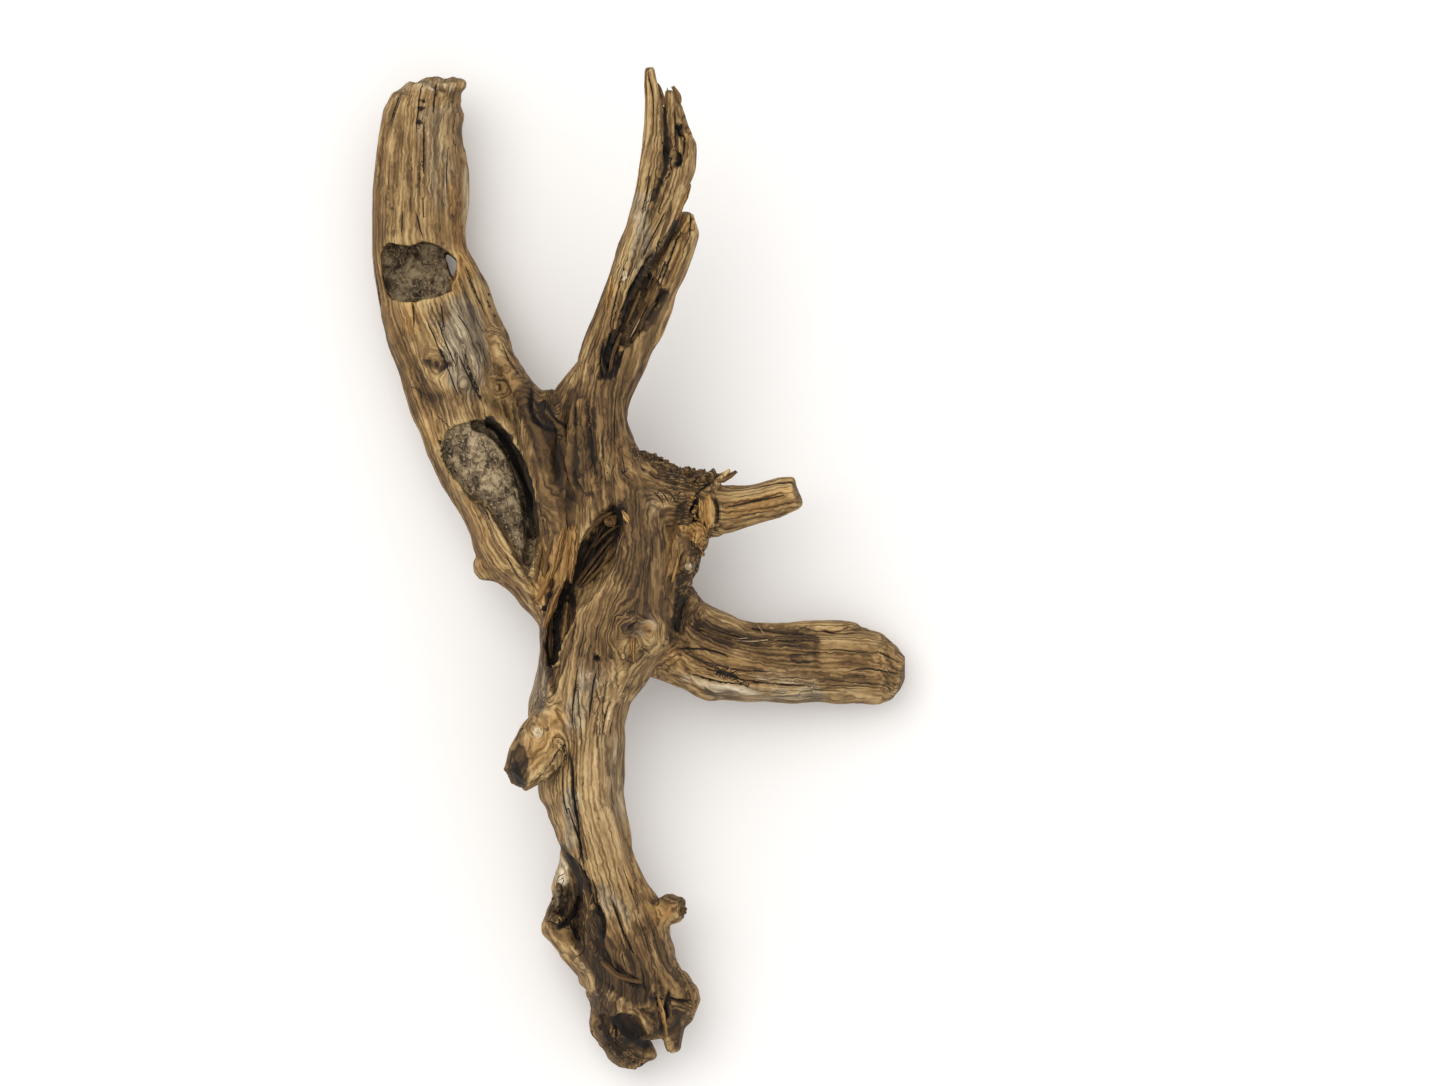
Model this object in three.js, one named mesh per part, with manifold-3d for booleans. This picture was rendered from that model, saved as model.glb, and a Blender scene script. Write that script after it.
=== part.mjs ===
// A piece of driftwood: one weathered, forked branch with broken side limbs, a burl and rotted hollows.
// Millimetres, +Z up. It lies on the ground as it is set down, with X across it and Y along it, and the origin
// is on the ground under the middle of its outline.

import * as THREE from "three";
import { mergeVertices } from "three/addons/utils/BufferGeometryUtils.js";
import { ImprovedNoise } from "three/addons/math/ImprovedNoise.js";
import Module from "manifold-3d";

const WIDTH = 283.6; // along X, the left limb's outer edge to the lower limb's end
const LENGTH = 533.4; // along Y, root tip to the tip of the tall prong
const HEIGHT = 127; // the tall prong's tip above the ground
const RING_STEP = 10; // distance between a limb's rings
const SIDES = 18; // sides of a thick limb
const THIN_SIDES = 10; // sides of a prong, stub or splinter
const LUMP_SIDES = 10; // sides of a round lump
const WOOD_COLOUR = 0x8c7352;

// Every limb is a row of stations from its root to its tip. A station is where the limb's middle is, and half of
// its width across the ground and half of its thickness: [x, y, z, halfWidth, halfThickness].
const TRUNK = [
  [2, -247, 25, 18, 16],
  [3.5, -233, 27, 27.5, 24],
  [0, -218, 31, 25.2, 28],
  [-6.2, -203, 35, 23.6, 28],
  [-8.5, -188, 38, 24.5, 26],
  [-11.6, -172, 42, 18.2, 24],
  [-18.6, -156, 46, 17.2, 22],
  [-23, -140, 49, 19.8, 21],
  [-29, -120, 51, 22.4, 21],
  [-26.5, -100, 52, 19.5, 22],
  [-29.2, -80, 54, 23.1, 24],
  [-28.4, -62, 56, 25.6, 27],
  [-21.5, -46, 58, 29, 30],
  [-16, -30, 59, 35, 33],
  [-13, -12, 60, 33, 34],
  [-10, 8, 61, 31, 33],
  [-10, 26, 63, 29, 30],
  [-13, 44, 66, 26, 27],
  [-16.2, 62, 69, 17.8, 24],
  [-19.5, 80, 73, 14.5, 21],
  [-18, 98, 77, 16.5, 19],
  [-11.5, 116, 81, 18.4, 18],
  [-6, 131, 84, 17, 16],
  [-2, 145, 87, 12, 12],
  [1, 154, 89, 6, 6],
];

const TALL_PRONG = [
  [-19, 118, 82, 10, 14],
  [-13, 138, 87, 8.5, 13],
  [-7, 158, 93, 7.2, 12],
  [-0.8, 180, 99, 6.3, 11],
  [4.2, 198, 104, 6.3, 10.5],
  [8, 214, 109, 7, 9.5],
  [9.6, 230, 113, 5.7, 8.5],
  [9.9, 245, 117, 4.7, 7],
  [9, 257, 119.5, 3.9, 5.5],
  [7.4, 266.5, 121.5, 2.9, 4.6],
];

const SHORT_PRONG = [
  [-8, 136, 86, 9, 12],
  [-1, 156, 91, 8, 12],
  [7, 176, 96, 8, 12],
  [15.5, 192, 100, 9, 12],
  [20.2, 207, 104, 8.4, 12],
  [23.6, 221, 107, 7.8, 11],
  [22.2, 234, 109, 7.2, 9],
  [20.6, 245, 110, 5.2, 7],
  [19.2, 254.5, 111, 2.4, 4],
];

const SIDE_PRONG = [
  [-5, 108, 76, 8.4, 13],
  [2, 126, 78, 10, 14],
  [9.2, 142, 82, 9.5, 13],
  [15.3, 157, 86, 9.3, 12],
  [22, 171, 89, 9.3, 11],
  [27, 182, 91, 6.8, 9],
  [27.5, 190.5, 92, 3.2, 5],
];

const LEFT_LIMB = [
  [-29, -42, 54, 9, 15],
  [-38.5, -28, 52, 11, 18],
  [-49.5, -11, 49, 13.5, 20],
  [-65, 6, 46, 18, 22],
  [-70, 28, 43, 19.9, 24],
  [-77.7, 48, 41, 23.4, 25],
  [-86, 70, 39, 28.5, 26],
  [-90.8, 90, 36, 30.2, 26],
  [-96.1, 110, 33, 31.1, 27],
  [-102.6, 126, 30.5, 30.2, 28],
  [-108.4, 141, 28.5, 30.1, 28.8],
  [-112.8, 156, 27.5, 27.6, 29],
  [-116.1, 172, 28, 25.8, 28.6],
  [-116.2, 190, 30, 25.6, 27],
  [-116.6, 208, 33, 25.5, 25],
  [-117.4, 224, 36, 23.8, 23.5],
  [-115.6, 240, 38.5, 21.8, 22],
  [-112.3, 250, 40, 20.1, 20.8],
  [-109, 259.4, 40.6, 15.5, 17.5],
];

const LOWER_LIMB = [
  [-12, -33, 45, 20, 20],
  [10, -35, 43, 20.5, 21],
  [26, -38, 39, 22.6, 22],
  [40, -43, 34.5, 22.5, 21.5],
  [53, -47.3, 31, 20.4, 20.5],
  [67, -48.2, 27.6, 19.4, 20],
  [83, -48.6, 24.2, 19.4, 19.7],
  [100, -48.6, 20.6, 19, 19.7],
  [115, -49, 18.6, 19.6, 19.7],
  [127, -49.6, 18, 19.6, 18.4],
  [136.5, -51.2, 18.6, 16.6, 14.5],
  [140.2, -53.4, 19, 10.6, 8],
];

// A strip of the lower limb's outer wood that has split from it and ends in a rounded tip.
const LOWER_STRIP = [
  [44, -26.5, 36, 4, 8],
  [62, -30.2, 31, 4, 8],
  [84, -30, 27, 3.8, 7.5],
  [104, -29.6, 23, 3.6, 7],
  [116, -29, 21, 2.8, 5.5],
  [120.5, -29, 20.5, 1.8, 3.5],
];

const SIDE_BRANCH = [
  [24, 29, 58, 12, 12],
  [40, 31.5, 62, 13.8, 12],
  [52, 34, 65.5, 12.2, 11],
  [62, 36, 68.5, 10.3, 10],
  [72, 38.2, 71, 9.6, 9],
  [81, 40, 73, 9.2, 8.6],
  [86, 41.2, 74, 7.8, 7.4],
];

const BURL = [
  [-8, 45, 66, 20, 21],
  [8, 43.5, 64, 18.5, 20],
  [22, 40.5, 61, 16, 18],
  [34, 41, 61, 13.5, 14],
  [42, 43.5, 62, 9.6, 10],
  [46, 44.8, 62.5, 6, 6.5],
];

const BURL_FLANK = [
  [19, 46, 58, 11, 17],
  [25, 27, 57, 13.5, 19],
  [21.2, 9, 55, 13, 20],
  [17.2, -8, 51, 11, 19],
  [13, -25, 48, 12, 17],
];

// Folds of wood that gather below the fork and run down into the trunk.
const FORK_WEB = [
  [-76, 121, 38, 7, 16],
  [-64, 99, 46, 7.4, 18],
  [-51, 80, 54, 12, 19],
  [-46, 58, 58, 14, 21],
  [-43, 36, 58, 14, 23],
  [-40, 14, 56, 13, 22],
  [-36, -8, 52, 12, 20],
  [-32, -26, 48, 9, 15],
];

const FORK_SADDLE = [
  [-25.5, 112, 76, 6, 12],
  [-36.5, 92, 69, 8.5, 15],
  [-42, 74, 63, 9, 16],
  [-40, 54, 60, 8, 16],
];

const TONGUE = [
  [-30, 95, 86, 2.2, 4],
  [-30.5, 84, 84.5, 4, 6],
  [-31, 70, 82, 4.6, 7],
  [-31, 54, 79, 5, 8],
  [-28, 38, 76, 5, 8],
  [-23, 25, 72, 4, 7],
];

const FLANK_RIDGE = [
  [-46, -24, 44, 6, 14],
  [-45.5, -46, 44, 6.4, 16],
  [-50.5, -66, 46, 6.8, 14],
  [-54, -79, 48, 4, 8],
];

const STUB = [
  [-33, -64, 60, 9, 9],
  [-42, -78, 65, 13, 12],
  [-51.5, -92, 70, 14.2, 13],
  [-59, -103.5, 74, 13.2, 12.5],
  [-64.5, -110.5, 76.5, 9.6, 10],
];

// The root end: a curled strand on the left, a small curl on the right, a round lobe, a shoulder and a toe.
const ROOT_CURL = [
  [-34, -136, 44, 6, 10],
  [-35, -156, 40, 7.4, 13],
  [-38, -174, 35, 8.6, 15],
  [-41, -187, 32, 9.8, 17],
  [-34.8, -198, 31, 9.4, 18],
  [-24, -209, 30, 10, 19],
  [-12, -220, 30, 12, 19],
];

const ROOT_HOOK = [
  [3, -188, 40, 8, 11],
  [13, -182, 44, 8, 9],
  [19.5, -179.5, 47, 7.4, 7.6],
  [25.5, -181.5, 48, 4.5, 5],
];

const ROOT_LOBE = [
  [0, -226, 24, 21, 24.6],
  [-7.5, -240, 21.6, 20.6, 22.6],
  [-6.2, -251, 20.5, 15.6, 18.5],
  [-3.2, -260, 20.5, 10.4, 13],
  [-3, -266.5, 20.5, 4.8, 7],
];

const ROOT_SHOULDER = [
  [4, -205, 37, 11, 20],
  [14, -217, 37, 9, 18],
  [23, -227, 36, 9.8, 14],
  [25, -236, 35, 5.5, 9],
];

const ROOT_TOE = [
  [9, -222, 33, 17, 20],
  [18, -236, 33, 10.5, 15],
  [20.3, -246, 31, 6.2, 10],
  [20.8, -256, 29.5, 3.2, 5.5],
];

// Splinters that stand from the burl beside the side branch.
const SPLINTERS = [
  [
    [31, 38, 66, 5, 6],
    [42, 46.5, 71, 3.6, 4],
    [51.5, 54, 75, 1.4, 1.8],
  ],
  [
    [27, 41, 68, 5, 6],
    [37, 48.5, 70, 3.6, 4],
    [42.5, 54, 71, 1.6, 2],
  ],
];

// Round lumps: [x, y, z, radiusX, radiusY, radiusZ].
const LUMPS = [
  [-80.8, 3, 42, 7.5, 8, 11], // knob on the left limb's outer edge
  [-46, 87, 58, 13, 10.5, 16], // fill of the fork
  [85, 36.5, 71, 3.8, 3.6, 5], // knob at the side branch's tip
  [4, -33, 76, 15, 15, 15], // knot that swells on the trunk's right side
  [31, 19, 68, 7, 7, 6], // broken stub on the burl
  [-98.6, 258.6, 42, 6.5, 5.5, 14], // lip at the left limb's broken end
  [-109.5, 258.2, 41, 14, 6.5, 15], // the middle of that end, which stands out
  [27, -17, 44, 9.5, 9, 15], // heel of the lower limb
  [3.5, -254, 19, 6.5, 6.5, 11], // swelling of the root's round lobe
];

// What rot has taken away, as limbs that are cut out. They are open to the top.
const UPPER_HOLLOW = [
  [-118, 134, 62, 22, 26],
  [-119, 146, 59, 24, 31],
  [-119.5, 158, 57, 24.5, 33],
  [-119.5, 170, 55, 24, 32],
  [-118, 184, 54, 22, 30],
];

const LONG_HOLLOW = [
  [-90, 79, 60, 3, 8],
  [-82.5, 78, 60, 3.4, 16],
  [-75.5, 73.5, 60, 3.8, 20],
  [-70, 67, 60, 3.8, 21],
  [-65.5, 57, 60, 3.6, 20],
  [-61.5, 47, 60, 3.6, 19],
  [-58.5, 37, 60, 3.4, 17],
  [-57.2, 25, 60, 3.2, 15],
  [-57.2, 13, 60, 3, 12],
  [-59, 3, 61, 2.4, 8],
];

const HEART_HOLLOW = [
  [-9, 33, 96, 5, 8],
  [-15, 22, 94, 10, 18],
  [-22, 8, 91, 12, 21],
  [-28, -5, 86, 10, 18],
  [-37, -20, 78, 6.5, 13],
  [-42, -36, 70, 6, 10],
  [-43, -50, 67, 4, 6],
];

const SPLIT_HOLLOW = [
  [-16, 111, 101, 3, 5],
  [-10, 122, 102, 4.5, 8],
  [-3, 133, 102, 6, 11],
  [4, 146, 103, 4, 11],
  [11, 161, 104, 2.5, 10],
  [18, 177, 104, 2, 8],
];

const CURL_HOLLOW = [
  [-36, -166, 56, 3.5, 6],
  [-38, -176, 53, 6.2, 10],
  [-39.5, -185, 50, 6.5, 9],
];

const LOBE_HOLLOW = [
  [-11, -237, 52, 4, 6],
  [-2, -244, 49, 8.5, 10],
  [3, -251, 45, 6, 9],
];

// The edges of the left limb's two hollows, seen from above: [x, y]. The upper one is deep all over. In the long
// one the outer wood has come off the core, and only the right side goes deep.
const UPPER_EDGE = [
  [-103.3, 172],
  [-102.4, 164],
  [-100.6, 157.7],
  [-100.6, 149.2],
  [-106.7, 146.5],
  [-118.2, 144],
  [-124.3, 143.1],
  [-131.6, 145],
  [-134.5, 150],
  [-136.5, 158.3],
  [-137, 170],
  [-133.4, 175.4],
  [-125.5, 173.6],
  [-121.3, 173.3],
  [-114.6, 176.3],
  [-109, 174.5],
];

const LONG_EDGE = [
  [-107.5, 64],
  [-103.5, 74],
  [-97.5, 78.5],
  [-86, 81.6],
  [-80.4, 80.8],
  [-71.6, 73.6],
  [-66.8, 68.4],
  [-61.2, 53.2],
  [-55.2, 39.6],
  [-54, 19],
  [-56.5, 3],
  [-58.8, -3.5],
  [-64.4, 6.9],
  [-72.8, 24.5],
  [-76.4, 30.9],
  [-82, 36.4],
  [-88.3, 38.8],
  [-93.1, 42.8],
  [-100.3, 50.8],
  [-105, 57],
];

const PEEL = 5.5; // thickness of the outer wood that has come off in the long hollow
const PEEL_BOTTOM = 41; // height down to which it has

// The gap in the left limb's inner wall, seen from above, which goes right through: [x, y].
const WALL_GAP = [
  [-103.5, 172],
  [-95.5, 166.5],
  [-97.5, 160],
  [-100.5, 153],
  [-101.5, 160],
];

const UP = new THREE.Vector3(0, 0, 1);
const FLUTE_DEPTH = 0.045; // of a limb's radius
const FLUTE_TWIST = 1.6; // radians along a limb
const BROAD_FLUTES = 3; // round a limb, which take most of the depth
const NARROW_FLUTES = 5;
const BROAD_SHARE = 0.6;
const FULLNESS = 1.02; // makes up for the flats between a limb's sides
const GNARL = [
  { size: 34, reach: 1.6 },
  { size: 13, reach: 0.6 },
]; // how far the finished wood is bent out of true, and over what distance
const GNARL_SHIFT = 31; // keeps the bends across, along and up apart

const wasm = await Module();
wasm.setup();

// The closed solid of a geometry.
function solid(geometry) {
  const bare = geometry.clone();
  bare.deleteAttribute("normal");
  bare.deleteAttribute("uv");
  const merged = mergeVertices(bare, 1e-4);
  return new wasm.Manifold(
    new wasm.Mesh({
      numProp: 3,
      vertProperties: new Float32Array(merged.attributes.position.array),
      triVerts: new Uint32Array(merged.index.array),
    }),
  );
}

// How far a limb stands out at an angle round it, from -1 to 1.
function fluting(angle) {
  const broad = BROAD_SHARE * Math.cos(BROAD_FLUTES * angle);
  return broad + (1 - BROAD_SHARE) * Math.cos(NARROW_FLUTES * angle + 1);
}

// A limb: a closed cylinder bent along the stations' smooth line, with shallow flutes that twist round it.
function limb(stations, sides = SIDES) {
  const line = (points) => new THREE.CatmullRomCurve3(points, false, "centripetal");
  const spine = line(stations.map(([x, y, z]) => new THREE.Vector3(x, y, z)));
  const sizes = line(stations.map(([, , , w, h]) => new THREE.Vector3(w, h, 0)));
  const rings = Math.round(spine.getLength() / RING_STEP);
  const tube = new THREE.CylinderGeometry(1, 1, 1, sides, rings);
  const place = tube.attributes.position;
  const start = stations[0][0]; // turns each limb's flutes differently
  const point = new THREE.Vector3();
  for (let i = 0; i < place.count; i += 1) {
    point.fromBufferAttribute(place, i);
    const along = Math.min(1, Math.max(0, point.y + 0.5));
    const t = spine.getUtoTmapping(along);
    const tangent = spine.getTangent(t);
    const side = new THREE.Vector3().crossVectors(tangent, UP).normalize();
    const lift = new THREE.Vector3().crossVectors(side, tangent);
    const size = sizes.getPoint(t);
    const angle = Math.atan2(point.z, point.x) + FLUTE_TWIST * along + start;
    const swell = FULLNESS + FLUTE_DEPTH * fluting(angle);
    const skin = spine.getPoint(t);
    skin.addScaledVector(side, point.x * size.x * swell);
    skin.addScaledVector(lift, point.z * size.y * swell);
    place.setXYZ(i, skin.x, skin.y, skin.z);
  }
  return solid(tube);
}

function lump([x, y, z, radiusX, radiusY, radiusZ]) {
  const ball = new THREE.SphereGeometry(1, LUMP_SIDES, LUMP_SIDES / 2);
  return solid(ball.scale(radiusX, radiusY, radiusZ).translate(x, y, z));
}

// An upright column of the outline given, from a height up past everything.
function column(outline, bottom) {
  const shape = new THREE.Shape(outline.map(([x, y]) => new THREE.Vector2(x, y)));
  const block = new THREE.ExtrudeGeometry(shape, { depth: 2 * HEIGHT, bevelEnabled: false });
  return solid(block.translate(0, 0, bottom));
}

// Bends the finished wood a little out of true, as grain and weather do.
function gnarled(wood) {
  const noise = new ImprovedNoise();
  const mesh = wood.getMesh();
  const vertices = new Float32Array(mesh.vertProperties);
  for (let i = 0; i < vertices.length; i += 3) {
    const [x, y, z] = vertices.slice(i, i + 3);
    for (const { size, reach } of GNARL) {
      for (let axis = 0; axis < 3; axis += 1) {
        const shift = axis * GNARL_SHIFT;
        vertices[i + axis] += reach * noise.noise(x / size + shift, y / size, z / size);
      }
    }
  }
  return new wasm.Manifold(
    new wasm.Mesh({ numProp: 3, vertProperties: vertices, triVerts: mesh.triVerts }),
  );
}

// The ground takes the limbs' lowest points flat, so that the piece rests on three small faces.
function settled(wood) {
  const ground = new THREE.BoxGeometry(LENGTH * 2, LENGTH * 2, HEIGHT).translate(0, 0, -HEIGHT / 2);
  return wood.subtract(solid(ground));
}

// Gives the geometry its true size and centres its outline over the origin.
function measured(geometry) {
  geometry.computeBoundingBox();
  const middle = geometry.boundingBox.getCenter(new THREE.Vector3());
  const size = geometry.boundingBox.getSize(new THREE.Vector3());
  geometry.translate(-middle.x, -middle.y, 0);
  geometry.scale(WIDTH / size.x, LENGTH / size.y, HEIGHT / size.z);
}

const thick = [TRUNK, LEFT_LIMB, LOWER_LIMB, FORK_WEB, BURL, BURL_FLANK, ROOT_LOBE];
const thin = [
  TALL_PRONG,
  SHORT_PRONG,
  SIDE_PRONG,
  LOWER_STRIP,
  SIDE_BRANCH,
  FORK_SADDLE,
  TONGUE,
  FLANK_RIDGE,
  STUB,
  ROOT_CURL,
  ROOT_HOOK,
  ROOT_SHOULDER,
  ROOT_TOE,
  ...SPLINTERS,
];
const hollows = [LONG_HOLLOW, HEART_HOLLOW, SPLIT_HOLLOW, CURL_HOLLOW, LOBE_HOLLOW];

let wood = thick.map((stations) => limb(stations)).reduce((all, next) => all.add(next));
for (const stations of thin) wood = wood.add(limb(stations, THIN_SIDES));
for (const size of LUMPS) wood = wood.add(lump(size));
for (const stations of hollows) wood = wood.subtract(limb(stations, THIN_SIDES));
const core = LEFT_LIMB.map(([x, y, z, w, h]) => [x, y, z, w - PEEL, h - PEEL]);
wood = wood.subtract(column(LONG_EDGE, PEEL_BOTTOM).subtract(limb(core)));
wood = wood.subtract(column(UPPER_EDGE, 0).intersect(limb(UPPER_HOLLOW)));
wood = wood.subtract(column(WALL_GAP, -HEIGHT / 2));
wood = settled(gnarled(wood));

const skin = wood.getMesh();
const geometry = new THREE.BufferGeometry()
  .setAttribute("position", new THREE.BufferAttribute(new Float32Array(skin.vertProperties), 3))
  .setIndex(new THREE.BufferAttribute(new Uint32Array(skin.triVerts), 1));
measured(geometry);
geometry.computeVertexNormals();

const driftwood = new THREE.Mesh(
  geometry,
  new THREE.MeshStandardMaterial({ color: WOOD_COLOUR, roughness: 0.85, metalness: 0 }),
);
driftwood.name = "driftwood";

const part = new THREE.Group();
part.add(driftwood);

export default part;
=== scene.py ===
"""A piece of driftwood: a weathered, forked branch with rotted hollows, a burl and broken limbs.

Lengths in the tables are millimetres, seen from above: X across the piece, Y along it, Z up from the ground.
"""

import math

import bmesh
import bpy
import numpy as np
from bpy.props import FloatProperty, FloatVectorProperty, PointerProperty
from mathutils import Euler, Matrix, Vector, kdtree
from mathutils.bvhtree import BVHTree


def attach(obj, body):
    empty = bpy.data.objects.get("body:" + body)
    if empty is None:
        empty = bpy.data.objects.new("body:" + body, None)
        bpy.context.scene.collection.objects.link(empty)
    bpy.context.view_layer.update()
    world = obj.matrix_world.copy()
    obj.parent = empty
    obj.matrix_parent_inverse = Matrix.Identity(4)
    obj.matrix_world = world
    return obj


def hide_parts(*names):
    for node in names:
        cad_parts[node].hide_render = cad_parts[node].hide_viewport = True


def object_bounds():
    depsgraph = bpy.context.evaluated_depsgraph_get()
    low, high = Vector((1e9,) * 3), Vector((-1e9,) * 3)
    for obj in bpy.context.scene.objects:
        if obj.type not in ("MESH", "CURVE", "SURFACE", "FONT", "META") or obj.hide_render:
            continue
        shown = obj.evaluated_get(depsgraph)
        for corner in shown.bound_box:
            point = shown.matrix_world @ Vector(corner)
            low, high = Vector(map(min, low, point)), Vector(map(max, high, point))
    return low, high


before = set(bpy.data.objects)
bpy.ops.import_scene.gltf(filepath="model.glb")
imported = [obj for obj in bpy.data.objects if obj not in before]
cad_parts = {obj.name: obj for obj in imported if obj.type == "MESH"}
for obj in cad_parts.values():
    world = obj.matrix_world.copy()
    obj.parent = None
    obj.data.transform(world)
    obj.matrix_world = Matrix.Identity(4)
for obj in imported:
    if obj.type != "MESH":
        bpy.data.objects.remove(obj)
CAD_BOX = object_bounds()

bl_info = {
    "name": "Driftwood",
    "version": (1, 0, 0),
    "blender": (4, 5, 0),
    "location": "3D View > Sidebar > Driftwood",
    "description": "Builds a weathered, forked piece of driftwood on its measured frame",
    "category": "Object",
}

MM = 0.001
NODE = "driftwood"
BODY = "root"

# The grain runs along the limbs. A limb here is how far its start lies from the root end along the grain,
# how far its grain is shifted sideways where it leaves its parent, and its stations: x, y, z, half width and
# half thickness.
LIMBS = {
    "trunk": (0, 0, [
        (2, -247, 25, 18, 16), (1, -218, 31, 26, 28), (-9, -188, 38, 24, 26), (-18, -156, 46, 18, 22),
        (-27.5, -120, 51, 23, 21), (-28, -80, 54, 24, 24), (-21.5, -46, 58, 29, 30), (-13, -12, 60, 33, 34),
        (-10, 26, 63, 29, 30), (-17, 62, 69, 17, 24), (-18, 98, 77, 16.5, 19), (-6, 131, 84, 17, 16),
        (1, 154, 89, 6, 6)]),
    "tall prong": (365, -6, [
        (-19, 118, 82, 10, 14), (-7, 158, 93, 7.2, 12), (4.2, 198, 104, 6.3, 10.5), (9, 230, 113, 5.7, 8.5),
        (8.2, 257, 119.5, 3.9, 5.5), (6.8, 266.5, 121.5, 2.9, 4.6)]),
    "short prong": (384, 3, [
        (-8, 136, 86, 9, 12), (7, 176, 96, 8, 12), (19.7, 207, 104, 8.8, 12), (22.2, 234, 109, 7.2, 9),
        (19.2, 254.5, 111, 2.4, 4)]),
    "side prong": (355, 10, [
        (-5, 108, 76, 8.4, 13), (9.2, 142, 82, 9.5, 13), (22, 171, 89, 9.3, 11), (27.5, 190.5, 92, 3.2, 5)]),
    "left limb": (205, -24, [
        (-29, -42, 54, 9, 15), (-49.5, -11, 49, 13.5, 20), (-70.5, 28, 43, 20.4, 24),
        (-86, 70, 39, 28.5, 26),
        (-97.6, 110, 33, 31.8, 27), (-108.4, 141, 28.5, 30.1, 28.8), (-116.1, 172, 28, 25.8, 28.6),
        (-116.2, 208, 33, 25.3, 25), (-115.5, 240, 38.5, 22.4, 22), (-112, 257.5, 40.6, 17.8, 18.5)]),
    "lower limb": (210, 16, [
        (-12, -33, 45, 20, 20), (10, -35, 43, 20.5, 21), (26, -38, 39, 22.6, 22),
        (53, -47.3, 31, 20.4, 20.5),
        (83, -49.5, 24.2, 19.4, 19.7), (115, -50, 18.6, 19.6, 19.7), (136, -52, 18.6, 15.4, 14.5),
        (141.3, -53.6, 19, 9, 8)]),
    "lower strip": (262, 8, [
        (44, -27.3, 36, 4, 8), (62, -31.4, 31, 4, 8), (104, -30.6, 23, 3.6, 7), (120, -30, 20.5, 1.8, 3.5)]),
    "side branch": (300, 12, [
        (24, 29, 58, 12, 12), (40, 31.5, 62, 13.8, 12), (62, 35.6, 68.5, 10.8, 10),
        (86, 41.2, 74, 7.8, 7.4)]),
    "burl": (280, 4, [
        (-8, 45, 66, 20, 21), (22, 40.5, 61, 16, 18), (46, 44.8, 62.5, 6, 6.5)]),
    "burl flank": (225, 20, [
        (13, -25, 48, 12, 17), (22, 9, 55, 13.5, 20), (25, 27, 57, 13.5, 19), (19, 46, 58, 11, 17)]),
    "fork web": (222, -16, [
        (-32, -26, 48, 9, 15), (-40, 14, 56, 13, 22), (-46, 58, 58, 14, 21), (-51, 80, 54, 12, 19),
        (-64, 99, 46, 7.4, 18), (-76, 121, 38, 7, 16)]),
    "fork saddle": (300, -20, [
        (-40, 54, 60, 8, 16), (-42, 74, 63, 9, 16), (-36.5, 92, 69, 8.5, 15), (-25.5, 112, 76, 6, 12)]),
    "tongue": (275, -12, [
        (-23, 25, 72, 4, 7), (-31, 54, 79, 5, 8), (-30.5, 84, 84.5, 4, 6), (-30, 95, 86, 2.2, 4)]),
    "stub": (185, -8, [
        (-33, -64, 60, 9, 9), (-42, -78, 65, 13, 12), (-51.5, -92, 70, 14.2, 13),
        (-64.5, -110.5, 76.5, 9.6, 10)]),
    "root curl": (-112, -16, [
        (-34, -136, 44, 6, 10), (-38, -174, 35, 8.6, 15), (-41, -187, 32, 9.8, 17),
        (-34.8, -198, 31, 9.4, 18),
        (-12, -220, 30, 12, 19)]),
    "root hook": (60, 8, [
        (3, -188, 40, 8, 11), (13, -182, 44, 8, 9), (19.5, -179.5, 47, 7.4, 7.6),
        (25.5, -181.5, 48, 4.5, 5)]),
    "root lobe": (-20, 2, [
        (-1, -226, 24, 21, 24.6), (-7.5, -240, 21.6, 20, 22.6), (-3.5, -266.5, 20.5, 5.5, 7)]),
    "root toe": (-20, 12, [
        (9, -222, 33, 17, 20), (18, -236, 33, 10.5, 15), (20.8, -256, 29.5, 3.2, 5.5)]),
}

# Where the wood is fuller or thinner than its measured solid, seen from above: x, y, how far round that
# reaches, and how far it moves the edge across and along.
SWELLS = [
    (138, -63, 20, 4.5, -5), (118, -69, 22, 0, -1.4), (96, -68, 22, 0, -1.6), (72, -67, 22, 0, -2.2),
    (50, -64, 20, 0, -2.6), (36, -61, 14, 0, -3.2), (-71, -10, 14, 2.8, 2.4), (-66, -91, 10, 1.0, -0.4),
    (-48, -134, 18, 2.4, 0), (-52, -117, 12, -1.6, -1), (-75, -103, 13, 2.0, 0),
    (20, -175, 10, 1.2, 2.6), (6, -260, 9, 3, -2.6),
    (31, -231, 12, 2.4, -0.6), (29, 217, 20, 2.6, 0), (-5, 193, 26, 1.6, 0), (-90, 176, 22, -2.2, 0),
    (-141, 190, 40, -1.2, 0), (15, 132, 18, 1.6, 0), (20, 59, 12, 0, -2), (35, -11, 8, -2.6, 1.4),
    (38, 15, 10, 2.4, 0), (-49, -178, 10, 2.6, 0), (-50, -192, 8, -2.4, 0), (-28, -224, 9, -3.4, 0),
    (-22, -254, 14, 2, 1), (23, -209, 10, -1.8, 0), (-125, 261, 12, 1.2, -2.4), (-93, 257, 8, 1.6, 1.6),
    (-115, 62, 24, 1.8, 0.6),
]

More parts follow.
